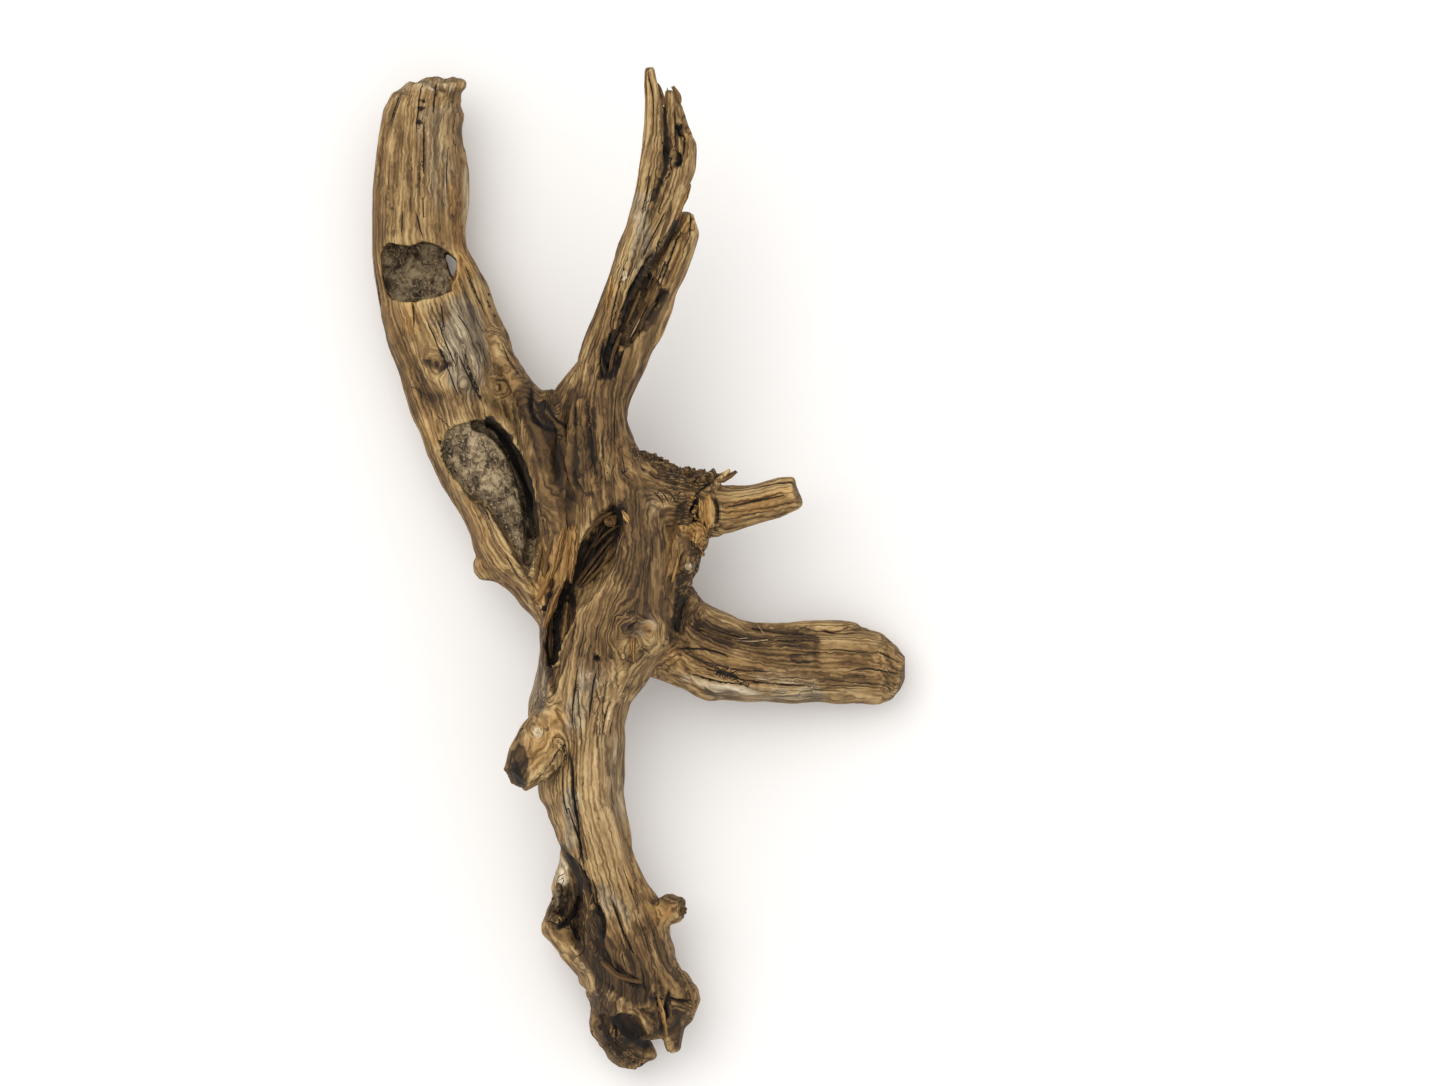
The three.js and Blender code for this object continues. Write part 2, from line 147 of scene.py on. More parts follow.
# The edges of the left limb's two hollows, seen from above.
HOLLOW_EDGES = {
    "upper": [
        (-103.3, 172), (-102.4, 164), (-100.6, 157.7), (-100.6, 149.2), (-106.7, 146.5), (-118.2, 144),
        (-124.3, 143.1), (-131.6, 145), (-134.5, 150), (-136.5, 158.3), (-137, 170), (-133.4, 175.4),
        (-125.5, 173.6), (-121.3, 173.3), (-114.6, 176.3), (-109, 174.5)],
    "long": [
        (-107.5, 64), (-103.5, 74), (-97.5, 78.5), (-86, 81.6), (-80.4, 80.8), (-71.6, 73.6), (-66.8, 68.4),
        (-61.2, 53.2), (-55.2, 39.6), (-54, 19), (-56.5, 3), (-58.8, -3.5), (-64.4, 6.9), (-72.8, 24.5),
        (-76.4, 30.9), (-82, 36.4), (-88.3, 38.8), (-93.1, 42.8), (-100.3, 50.8), (-105, 57)],
}

# Ridges and troughs: the line they follow, half their width and how far they rise, or sink when below zero.
FORMS = [
    ([(-30, 93), (-30, 80), (-30, 66), (-29, 54), (-25, 43)], 4.5, 2.8),
    ([(-72, 112), (-62, 96), (-53, 78), (-49, 60), (-49, 40), (-52, 26)], 5.5, 3.2),
    ([(-45, 90), (-41, 78), (-39, 66), (-39, 50), (-36, 38)], 3.5, 3.0),
    ([(-57, 85), (-52, 80), (-47, 76), (-43, 72), (-43, 60), (-43, 44)], 3.0, -3.8),
    ([(-35, 92), (-35, 78), (-35.5, 62), (-34, 48), (-30, 38)], 2.2, -3.4),
    ([(-25, 88), (-24.5, 74), (-23, 60), (-19, 48), (-10, 42)], 2.0, -1.2),
    ([(-20, 104), (-15, 88), (-8, 72), (2, 60), (16, 52)], 5.0, 1.6),
    ([(-9, 96), (-3, 80), (4, 68), (14, 60)], 2.6, -1.4),
    ([(3, 52), (14, 50), (24, 44), (30, 38)], 2.4, -1.8),
    ([(-8, 50), (-6, 46), (0, 44)], 1.6, -1.6),
    ([(-6, -30), (-1, -26), (6, -27), (10, -33)], 3.0, 2.2),
    ([(-6, -34), (-8, -44), (-7, -56)], 3.0, 1.4),
    ([(2, -40), (1, -50), (-3, -60)], 2.0, -2.2),
    ([(11, -24), (14, -40), (11, -54)], 2.4, -1.8),
    ([(24, 12), (22, -4), (21, -20), (19, -34)], 2.6, -3.0),
    ([(-52, -30), (-50, -48), (-53, -68)], 3.4, 1.4),
    ([(-46, -30), (-45, -50), (-46, -70)], 2.4, -3.0),
    ([(-34, -132), (-33, -142), (-32, -152)], 1.8, -1.2),
    ([(-24, -96), (-22, -118), (-17, -142), (-12, -166)], 5.0, 1.3),
    ([(-10, -96), (-9, -118), (-4, -142), (2, -166)], 3.4, -1.1),
    ([(-27, -166), (-25, -178), (-20, -190), (-14, -202), (-4, -214)], 3.2, 2.6),
    ([(-30, -188), (-24, -198), (-16, -208), (-4, -218), (6, -222)], 3.0, -2.6),
    ([(-50, -184), (-44, -186), (-38, -190), (-32, -194)], 3.4, 2.4),
    ([(-40, -150), (-35, -158), (-30, -168), (-29, -178)], 2.4, -2.6),
    ([(-41, -154), (-42, -164), (-43, -174)], 3.0, 1.2),
    ([(-6, -220), (6, -226), (18, -228)], 3.0, 1.6),
    ([(-16, -226), (-10, -234), (0, -238), (10, -236)], 2.8, -2.6),
    ([(-22, -240), (-18, -252), (-10, -261)], 3.0, 1.6),
    ([(26, -54), (42, -57), (58, -59), (76, -60)], 2.4, -1.4),
    ([(30, -34), (46, -39), (64, -40), (94, -40)], 2.4, -1.2),
    ([(95.5, -34), (94.5, -44), (95.5, -54)], 1.8, -1.0),
    ([(104, -34), (103, -46), (104, -60)], 8.0, 0.9),
    ([(-108, 246), (-106, 226), (-104, 204), (-102, 186)], 3.0, -0.8),
    ([(-128, 246), (-130, 220), (-130, 196)], 3.0, -0.7),
    ([(-136, 180), (-126, 177), (-114, 179), (-105, 177)], 3.6, 1.0),
    ([(-98, 146), (-104, 140), (-116, 139), (-130, 141)], 3.4, 0.9),
    ([(-120, 96), (-108, 92), (-96, 94), (-84, 100)], 3.0, -1.2),
    ([(-112, 122), (-100, 121), (-88, 114), (-80, 104)], 4.0, 1.1),
    ([(-101, 84), (-90, 87), (-79, 86), (-70, 78), (-62, 66)], 4.0, 1.8),
    ([(-92, 70), (-86, 58), (-76, 44), (-68, 28)], 6.0, 1.6),
    ([(26, 212), (27, 222), (26, 234)], 2.0, 1.4),
    ([(5, 236), (7, 250), (8, 262)], 1.6, -0.8),
    ([(-14, 142), (-8, 160), (-1, 180), (4, 200)], 2.2, -1.4),
    ([(8, 132), (15, 150), (22, 168), (27, 184)], 2.2, -1.2),
]

# Areas with a crisp edge, seen from above: their outline, how far they rise or sink, and their finish.
PLATES = [
    ([(-12, 121), (-10, 128), (-4, 143), (1, 152), (5, 158), (10, 154), (13, 149), (16.6, 146.4),
      (11.5, 140.6), (7.9, 138.4), (5, 134), (4.3, 127.6), (0, 124.7), (-3.6, 120.4), (-7.3, 118.2)],
     -2.6, "umber", 0.9),
    ([(-18, 119), (-11, 120), (-10, 109), (-13.8, 101.6), (-21, 101.6), (-19.5, 108)], -3.2, "dark", 0.9),
    ([(-49, -13), (-39, -9), (-34, -14), (-33.5, -30), (-37, -44), (-41, -56), (-46, -67), (-48.5, -52),
      (-50, -30)],
     -1.8, "umber", 0.9),
    ([(48, -33), (62, -32), (78, -34), (95, -34), (93.5, -38), (96, -43), (90, -44), (86, -50), (81, -46),
      (66, -44), (50, -41)], 0.8, "umber", 0.75),
    ([(-72, -104), (-69, -97), (-63.3, -91.5), (-60.5, -93.5), (-57.5, -100), (-59.5, -107), (-58.5, -115),
      (-66, -117), (-72, -111)], -0.4, "dark", 0.85),
    ([(-29.7, 92.3), (-27.4, 90), (-26.6, 81.6), (-26.6, 67), (-25, 59.5), (-23.6, 50.4), (-20.5, 42),
      (-27, 40), (-32.7, 47.4), (-34.6, 53.5), (-34.6, 61), (-33, 67), (-33, 78),
      (-32.7, 89)], 1.8, "umber", 0.9),
    ([(32, 39), (40.5, 38), (41.5, 24), (38, 22.5), (35.5, 25), (33, 23.5), (31.8, 30)], 1.8, "gold", 0.9),
    ([(22, 21), (19, 18), (15.5, 6), (14.5, -3), (17.5, -2), (21, 8)], 1.0, "gold", 0.9),
    ([(-114, 111.8), (-109, 114.2), (-100, 110.3), (-106, 104.8)], -0.9, "umber", 0.9),
    ([(-25, -205), (-12, -211), (2, -219), (12, -228), (9, -240), (-4, -233), (-16, -223), (-26, -215)],
     -1.2, "umber", 0.9),
    ([(24, -214), (31, -219), (33, -230), (27, -237), (20, -233), (17, -224)], 1.0, "umber", 0.8),
    ([(-54, 12.4), (-50, 19), (-39.5, 20), (-33.2, 23.8), (-33, 14.7), (-33.5, 3.3), (-35, -5), (-38, -8),
      (-46, -28), (-50, -28), (-55, -15.7)], 0.9, "gold", 0.9),
    ([(-97, 248), (-93.5, 250), (-92, 226), (-94.5, 214), (-97, 228)], -0.8, "dark", 0.35),
    ([(15.7, 210.4), (14.4, 246), (18, 250), (27, 238), (28.6, 220), (25, 206), (18, 198), (10.5, 203.3)],
     -0.5, "umber", 0.6),
]

# Cracks and creases: the line they follow, half their width and their depth.
CRACKS = [
    ([(-36.5, -97), (-35, -110), (-34.5, -120), (-33.3, -130), (-32, -140), (-31.7, -150),
      (-30, -160)], 0.7, 4),
    ([(28, -56), (40, -60), (52, -61.5), (60, -62)], 1.0, 6),
    ([(50, -58), (64, -60.5), (80, -62), (93, -63)], 0.8, 5),
    ([(-114.5, 230), (-114, 222), (-115, 213)], 0.5, 1.5),
    ([(-126, 192), (-126, 180)], 0.5, 1.5),
    ([(-118, 190), (-117, 184), (-115, 178)], 0.5, 1.5),
    ([(-94, 248), (-97, 236), (-96, 222)], 1.0, 3),
    ([(-122, 98), (-117, 95), (-112, 91)], 0.6, 2),
    ([(-108, 82), (-104, 79), (-100, 75)], 0.6, 2),
    ([(-56, 99), (-57.5, 88), (-56, 80), (-50.7, 75.4), (-43, 72)], 1.3, 6),
    ([(-50, 90), (-46.6, 82), (-37, 75)], 1.1, 5),
    ([(-34, 92), (-34, 80), (-35, 70), (-35.5, 60), (-33.5, 48)], 1.2, 4),
    ([(-27, 88), (-26, 75), (-25, 60), (-23, 50)], 0.8, 3),
    ([(13.5, 246), (15, 228), (15.5, 211), (11, 203), (8, 195), (5, 185), (3, 175)], 1.3, 7),
    ([(45, 33), (62, 37), (78, 40)], 0.7, 3),
    ([(48, 27), (56, 28.5), (64, 30)], 0.6, 2),
    ([(-55, -115), (-50, -110), (-44, -102), (-41, -95), (-38, -92)], 1.5, 4),
    ([(-42, -148), (-33, -157), (-28, -165), (-27, -173), (-22, -180), (-18, -187), (-19, -197)], 1.9, 6),
    ([(8, -228), (20, -230), (33, -229)], 1.4, 4),
    ([(9.4, 168), (5.7, 164.4), (2.9, 157.2), (-2.2, 149.3), (-4.4, 142.8), (-8, 134.1),
      (-10.1, 128)], 2.2, 6),
    ([(16.6, 146.4), (11.5, 140.6), (7.9, 138.4), (5, 134), (4.3, 127.6), (0, 124.7),
      (-7.3, 118.2)], 1.5, 4),
    ([(-13.5, 126), (-15, 116), (-17, 106)], 2.0, 6),
    ([(-19, 121), (-21, 110), (-20, 101)], 1.3, 4),
    ([(-8, 122), (-9, 112), (-12, 102)], 1.2, 4),
    ([(12, 176), (10, 168), (6, 158), (2, 146)], 1.2, 4),
    ([(-5, 166), (-9, 152), (-13, 138), (-15, 128)], 0.8, 3),
    ([(24, 186), (19, 172), (15, 160), (11, 148)], 0.9, 3),
    ([(6, 209), (5, 200), (2, 190)], 1.0, 3),
    ([(4.4, 262), (6.5, 258), (8, 250), (8.5, 240)], 0.6, 2),
    ([(20, 244), (19, 232), (18, 221)], 0.9, 3),
    ([(25, 240), (25.5, 228), (23, 214)], 0.7, 3),
    ([(-103.5, 129), (-104.5, 136), (-105, 141)], 0.5, 2),
    ([(-119.7, 129), (-120.5, 136), (-120, 142)], 0.8, 2.5),
    ([(-96, 136), (-90, 128), (-86, 116)], 0.5, 1.5),
    ([(-93, 42), (-82, 36.4), (-72.8, 24.5), (-64.4, 6.9), (-58.8, -3.5)], 0.8, 2),
    ([(-80.4, 80.8), (-73, 73.5), (-67, 66), (-62, 54), (-58.8, 46), (-56, 34)], 2.6, 5),
    ([(-54, 30), (-54.5, 16), (-57, 2)], 1.2, 4),
    ([(-48, -14), (-45.5, -28), (-43, -42)], 2.2, 7),
    ([(-36, -18), (-35.7, -27), (-36.5, -38)], 1.6, 6),
    ([(-5.3, -31), (-3, -27.5), (0, -26.4)], 1.1, 3),
    ([(7, -46), (2, -52), (-4.6, -60)], 1.2, 3),
    ([(2, -41), (6, -44)], 0.9, 2.5),
    ([(22.8, -15), (22, -24), (20.5, -32.5)], 1.6, 6),
    ([(8, 42), (12, 39), (13.7, 34.5)], 0.6, 2),
    ([(11, 43), (15, 40), (16.7, 35.5)], 0.6, 2),
    ([(14, 44), (18, 41), (19.7, 36.5)], 0.6, 2),
    ([(-9, 53), (-5.3, 50), (-3, 48.5)], 0.9, 2.5),
    ([(29.6, 39), (36, 45), (43.3, 53.5)], 0.9, 3),
    ([(30.5, 38), (31, 32), (30, 26)], 1.2, 5),
    ([(42, 24), (42.5, 32), (41, 38)], 0.8, 3),
    ([(60, -33.5), (72, -37), (84, -37), (95, -36)], 1.0, 3),
    ([(30, -30), (44, -34), (58, -37)], 1.3, 4),
    ([(24, -44), (36, -49), (52, -53), (70, -54)], 0.6, 2),
    ([(100, -42), (116, -43), (130, -44)], 0.5, 1.5),
    ([(98, -58), (114, -60), (128, -61)], 0.5, 1.5),
    ([(-17, -58), (-18, -74), (-19, -92)], 0.5, 1.5),
    ([(-33, -60), (-31, -78), (-30, -92)], 0.5, 1.5),
    ([(-12, -100), (-11, -118), (-8, -134)], 0.4, 1.5),
    ([(-1, -130), (3, -150), (6, -168)], 0.5, 1.5),
    ([(-32, -166), (-31.5, -173), (-32.5, -180), (-36, -186.5), (-42, -189.8)], 1.5, 6),
    ([(-50, -180), (-44, -181), (-38, -179)], 1.0, 4),
    ([(-50, -186), (-44, -188), (-38, -192), (-34, -190)], 0.7, 2.5),
    ([(-26, -176), (-25, -186), (-22, -194)], 1.0, 4),
    ([(-40, -162), (-41, -170), (-40, -176)], 0.5, 2),
    ([(23, 190), (21.6, 187.2), (15.9, 177.6), (9.4, 168)], 1.2, 5),
    ([(-14, -176), (-9, -190), (-2, -204)], 0.9, 3),
    ([(6, -180), (10, -196), (14, -212)], 0.9, 3),
    ([(-20, -206), (-12, -216), (-2, -222)], 1.2, 4),
    ([(-24, -228), (-18, -236), (-12, -246), (-14, -258)], 1.2, 4),
    ([(16, -224), (15, -236), (12, -246)], 1.4, 4),
    ([(24, -214), (27, -222), (30, -232)], 0.8, 3),
    ([(-6, -256), (2, -262), (8, -262)], 1.2, 4),
]

# Knots: x, y, radius, how far they stand out.
KNOTS = [
    (-108, 110, 6, -0.8),
    (-75, 97, 5.5, 0.6),
    (-93, 100, 3.5, 0.3),
    (-2, -37, 8, 1.0),
    (6, -32, 6, 1.1),
    (-53, -86, 4, 0.6),
    (-29, -196, 5, 0.5),
    (31, 20, 4.5, 0.5),
]

# Small holes, painted dark inside as shade: x, y, radius, depth.
PITS = [
    (-114.5, 250, 1.4, 1.2), (-116, 245.5, 1.9, 1.2), (-117, 238.5, 1.5, 1), (-106, 67, 2, 3),
    (-107, 63, 1.6, 3),
    (23, 233, 3.4, 4.5), (20, 217.5, 3.8, 5), (-22, -47, 2, 3), (12, -232, 2, 3), (-81, 147, 1, 1),
    (-81, 142, 1, 1),
    (-74, 133, 1, 1), (-70.5, 130, 1, 1), (30, 32, 2.5, 5),
]

# Patches of finish, and of painted shade in gaps, cracks and creases: strength, radius and the line they
# follow.
STAINS_AND_SHADE = {
    "gold": [
        (0.4, 6, [(-137, 235), (-139, 200), (-139, 165)]),
        (0.55, 7, [(-136, 140), (-128, 112), (-118, 88), (-110, 72)]),
        (0.6, 5, [(-122, 142), (-121, 128)]),
        (0.7, 6, [(-96, 200), (-94, 178), (-92, 160)]),
        (0.8, 4, [(-99, 158), (-100, 150)]),
        (0.6, 7, [(-92, 34), (-84, 16), (-78, 2), (-66, -14)]),
        (0.6, 4, [(-15, 142), (-14, 154)]),
        (0.5, 3, [(3, 240), (6, 262)]),
        (0.7, 3, [(26, 231), (26, 221)]),
        (0.6, 5, [(12, 146), (22, 166), (26, 184)]),
        (0.9, 7, [(-52, -14), (-46, 0), (-38, 16)]),
        (0.6, 3, [(-30, 92), (-30, 84)]),
        (0.7, 3, [(-48, 58), (-48, 44), (-52, 32)]),
        (0.9, 4, [(18, 20), (17, 6), (14, -8)]),
        (1.0, 4, [(35, 26), (38, 36)]),
        (0.7, 3, [(29, 20), (24, 22)]),
        (0.6, 6, [(50, 32), (84, 39)]),
        (0.7, 9, [(24, -44), (45, -52), (68, -56)]),
        (0.5, 9, [(100, -50), (130, -50)]),
        (0.5, 5, [(7, -32)]),
        (0.4, 9, [(-20, -70), (-22, -110), (-12, -150)]),
        (0.6, 8, [(-44, -80), (-56, -98)]),
        (0.5, 4, [(15, -232), (21, -250)]),
        (0.7, 4, [(10, -187), (18, -180)]),
        (0.5, 8, [(-2, -150), (8, -176)]),
        (0.5, 4, [(-22, -186), (-12, -200)]),
    ],
    "grey": [
        (0.5, 12, [(-108, 240), (-105, 200)]),
        (0.8, 14, [(-95, 134), (-92, 104)]),
        (0.45, 5, [(-47, 52), (-46, 42), (-44, 30)]),
        (0.5, 12, [(-16, 110), (-14, 85)]),
        (0.8, 12, [(0, 34), (6, 4), (2, -24)]),
        (0.8, 5, [(-50, -32), (-53, -72)]),
        (0.6, 8, [(-26, -52), (-34, -80)]),
        (0.7, 5, [(-36, -120), (-34, -145)]),
        (0.7, 5, [(40, -64), (95, -67)]),
        (0.7, 9, [(-24, -208), (-8, -225), (8, -232)]),
        (0.6, 5, [(0, 196), (4, 180), (0, 160)]),
        (0.5, 8, [(-16, -92), (-10, -130)]),
        (0.5, 6, [(-18, -172), (-8, -186)]),
    ],
    "umber": [
        (0.35, 26, [(-118, 244), (-120, 190)]),
        (0.75, 9, [(-141, 210), (-139, 160), (-131, 120), (-117, 88)]),
        (0.7, 14, [(-2, 34), (2, 10), (0, -20)]),
        (0.5, 8, [(-104, 52), (-88, 14), (-74, -6), (-60, -20)]),
        (0.9, 12, [(-66, 106), (-56, 90), (-50, 70)]),
        (1.0, 15, [(-48, 88), (-43, 66), (-42, 44), (-46, 26)]),
        (0.9, 10, [(-30, 92), (-30, 60), (-24, 42)]),
        (0.9, 16, [(-14, 132), (-12, 104), (-10, 84), (-2, 66)]),
        (0.5, 9, [(-122, 92), (-106, 92), (-88, 90), (-74, 86)]),
        (0.5, 7, [(20, 160), (14, 134), (2, 108)]),
        (0.6, 14, [(34, -46), (62, -51), (92, -52)]),
        (0.55, 14, [(104, -52), (138, -54)]),
        (0.6, 10, [(-34, -186), (-26, -202), (-18, -214)]),
        (0.7, 10, [(2, 60), (16, 50), (30, 44)]),
        (0.5, 8, [(-6, 140), (2, 160)]),
        (0.4, 7, [(14, 150), (24, 176)]),
        (0.5, 6, [(21, 210), (23, 236)]),
        (0.9, 17, [(-8, 40), (0, 16), (4, -12)]),
        (0.7, 12, [(26, 34), (26, 4), (22, -24)]),
        (0.7, 12, [(-10, -20), (-22, -44)]),
        (0.8, 12, [(24, -32), (42, -40)]),
        (0.6, 10, [(34, -48), (56, -52)]),
        (0.6, 8, [(60, -38), (92, -42)]),
        (0.6, 8, [(128, -62), (137, -52), (134, -40)]),
        (0.5, 8, [(-62, -98), (-66, -106)]),
        (0.4, 6, [(-38, -160), (-42, -178)]),
        (1.0, 6, [(-46, -184), (-40, -192), (-30, -196)]),
        (0.8, 4, [(-26, -170), (-24, -186), (-20, -196)]),
        (0.9, 16, [(-22, -196), (-10, -216), (6, -232)]),
        (0.8, 12, [(4, -196), (18, -220)]),
        (0.9, 12, [(-18, -240), (-8, -254), (2, -262)]),
        (0.4, 8, [(-92, 96), (-74, 100)]),
        (0.5, 6, [(-103, 136), (-104, 142)]),
        (0.4, 7, [(-64, -20), (-44, -34)]),
    ],
    # Dark brown wood, and painted shade along cracks, creases and the long hollow's overhung edge.
    "dark": [
        (0.7, 4, [(-57, 98), (-57, 88), (-52, 78)]),
        (0.35, 13, [(-2, 34), (2, 0)]),
        (0.5, 10, [(-26, -196), (-12, -216)]),
        (0.5, 8, [(24, -216), (22, -240)]),
        (0.4, 10, [(-46, 84), (-40, 60), (-44, 40)]),
        (0.95, 9, [(-60, 92), (-50, 76), (-44, 58)]),
        (0.5, 8, [(-40, 70), (-38, 52), (-40, 36)]),
        (0.4, 9, [(-10, 108), (-8, 90), (-2, 72)]),
        (0.6, 11, [(-28, -190), (-16, -206), (-2, -218)]),
        (0.7, 6, [(-45, 80), (-42, 64), (-42, 48)]),
        (0.8, 4, [(-35, 94), (-35, 76), (-35, 56)]),
        (0.5, 4, [(-30, 84), (-30, 62), (-28, 48)]),
        (0.6, 3, [(-24.5, 84), (-23, 60)]),
        (0.4, 6, [(-14, 116), (-13, 100)]),
        (0.9, 3, [(-80, 79), (-73, 72), (-66, 60), (-60, 47), (-57, 35)]),
        (0.7, 2.6, [(20, 185), (9, 168), (3, 157), (-4, 143), (-9, 128)]),
        (0.7, 4, [(14, 145), (6, 134), (-4, 121)]),
        (0.9, 4, [(-14, 120), (-17, 104)]),
        (0.6, 1.4, [(14, 246), (15, 212), (9, 196), (5, 184)]),
        (0.7, 2.5, [(23.5, 234), (22, 231)]),
        (0.9, 3, [(20, 220), (20.5, 215)]),
        (0.85, 8, [(-12, 30), (-22, 12), (-32, -4)]),
        (0.9, 6, [(-38, -10), (-45, -28), (-46, -46)]),
        (0.5, 5, [(2, 60), (22, 56), (40, 51)]),
        (0.9, 3, [(30, 38), (31, 26)]),
        (0.7, 4, [(24, -12), (21, -32)]),
        (0.7, 5, [(30, -30), (48, -35), (62, -37)]),
        (0.6, 3, [(60, -35), (95, -37)]),
        (0.7, 3, [(83, -47), (95, -50)]),
        (0.7, 6, [(-68, -100), (-62, -110)]),
        (0.8, 1.8, [(-33, -168), (-32, -174), (-32.5, -180), (-36, -186), (-42, -189.5)]),
        (0.6, 3, [(-38, -180), (-46, -181)]),
        (0.8, 2.5, [(-40, -148), (-34, -156), (-29, -164), (-28, -172)]),
        (0.7, 1.4, [(-33, -128), (-31, -148)]),
        (0.95, 10, [(-24, -204), (-12, -220), (0, -226)]),
        (0.8, 7, [(-18, -232), (-12, -246), (-14, -258)]),
        (1.0, 6, [(-8, -242), (2, -252)]),
        (0.7, 4, [(-27, -174), (-24, -190)]),
        (0.9, 3, [(25, -182)]),
        (0.6, 4, [(6, -222), (12, -244)]),
        (0.7, 2, [(-114, 111), (-106, 105), (-100, 110)]),
        (0.5, 3, [(-93, 41), (-72.8, 24), (-59, -3)]),
        (0.9, 6, [(18, -236), (21, -250)]),
    ],
    # Painted shade, near black, in the deepest gaps and crevices and under the long hollow's overhung edge.
    "gap_shade": [
        (1.0, 3.4, [(-79, 79), (-72, 71.5), (-65, 60), (-60, 48), (-56.5, 36), (-55.5, 20)]),
        (0.65, 7, [(-12, 28), (-22, 12), (-31, -4)]),
        (0.9, 4, [(-36, -8), (-44, -24), (-46, -40)]),
        (1.0, 0.9, [(14, 244), (15, 226), (15.5, 212), (11, 204), (8, 196)]),
        (1.0, 1.0, [(20, 185), (15.9, 177.6), (9, 167), (3, 157), (-2, 147), (-9, 129)]),
        (0.9, 1.9, [(-13, 126), (-15, 116), (-16, 104)]),
        (0.8, 0.9, [(14, 145), (6, 135), (-3, 121)]),
        (0.9, 1.4, [(23.5, 235), (22, 231)]),
        (0.9, 1.8, [(20, 219), (20.5, 215)]),
        (0.9, 0.9, [(-56.5, 94), (-58, 84), (-50.7, 75.4), (-41, 71.5)]),
        (0.8, 1.2, [(-50, 90), (-46.6, 82), (-37, 75)]),
        (0.8, 1.2, [(-33, 86), (-33.6, 66), (-31.5, 50)]),
        (0.6, 1.0, [(-27, 80), (-24, 60), (-21, 46)]),
        (1.0, 2.2, [(30, 37), (30.5, 26)]),
        (0.7, 2.0, [(23, -14), (21, -32)]),
        (1.0, 0.6, [(-36.5, -97), (-35, -116), (-33.3, -130), (-31.7, -146), (-31, -158)]),
        (0.9, 1.6, [(-38, -152), (-31, -164), (-30, -172), (-32.5, -181), (-37, -187), (-42, -190)]),
        (0.7, 2.0, [(-22, -180), (-18, -188), (-19, -198)]),
        (0.7, 2.4, [(-12, -240), (-4, -250), (4, -254)]),
        (0.6, 2.0, [(16, -226), (15, -238)]),
        (0.5, 1.6, [(-24, -206), (-12, -216), (0, -222)]),
        (0.8, 2.4, [(-66, -103), (-63, -112)]),
    ],
    "calm": [
        (0.9, 30, [(-116, 250), (-116, 215), (-118, 186)]),
        (0.6, 18, [(-126, 140), (-118, 116), (-108, 96)]),
        (0.5, 12, [(-90, 128), (-84, 106)]),
        (0.6, 10, [(112, -46), (136, -52)]),
        (0.6, 9, [(-50, -84), (-58, -98)]),
        (0.5, 9, [(-36, -192), (-20, -206)]),
        (0.6, 12, [(-12, -238), (-8, -256)]),
    ],
    "pale": [
        (0.4, 3, [(-125, 258), (-100, 258)]),
        (0.5, 3, [(-117, 156), (-112, 160)]),
        (0.5, 2.5, [(-88, 245), (-91, 210), (-92, 186)]),
        (1.0, 2.5, [(27, 2)]),
        (0.8, 3, [(-53, -86)]),
        (0.8, 4, [(-41, -156), (-41, -166), (-42, -176)]),
        (0.5, 3, [(4, 197)]),
        (0.5, 2.5, [(-0.5, 188)]),
        (0.6, 2.5, [(-7, 156)]),
        (0.25, 14, [(-20, -66), (-20, -100), (-12, -140)]),
        (0.3, 3, [(-90, 112), (-84, 104)]),
        (0.4, 3, [(-98, 134), (-94, 126)]),
        (0.4, 3, [(24, -58), (60, -64)]),
        (0.35, 5, [(66, -57), (80, -58), (93, -61)]),
    ],
    "bark": [
        (1.0, 5, [(0, 64), (12, 61), (26, 55), (40, 53)]),
        (0.9, 6, [(10, 56), (24, 50), (36, 46)]),
        (0.9, 5, [(22, 38), (24, 26)]),
        (0.8, 5, [(30, 12), (27, 0), (25, -10)]),
        (0.8, 4, [(-15, 27), (-20, 20)]),
        (0.7, 6, [(-40, -172), (-42, -186)]),
        (0.6, 7, [(-14, -250), (-4, -260)]),
        (0.5, 6, [(24, -180), (18, -178)]),
    ],
    "torn": [
        (1.0, 8, [(16, 178), (6, 158), (-4, 138), (-12, 118)]),
        (0.4, 6, [(20, 236), (20, 214), (14, 196)]),
        (1.0, 9, [(-14, 26), (-24, 8), (-33, -6)]),
        (0.9, 8, [(-50, -14), (-44, 2), (-37, 18)]),
        (0.9, 6, [(-40, -14), (-46, -34), (-47, -56)]),
        (0.7, 8, [(28, 40), (28, 14), (24, -16)]),
        (0.6, 8, [(20, -34), (40, -38), (60, -38)]),
        (0.6, 8, [(-8, 70), (6, 58), (22, 50)]),
        (0.7, 8, [(-28, -176), (-16, -200), (0, -218)]),
        (0.7, 8, [(10, -210), (18, -238)]),
        (0.5, 4, [(-34, -132), (-32, -150)]),
    ],
}

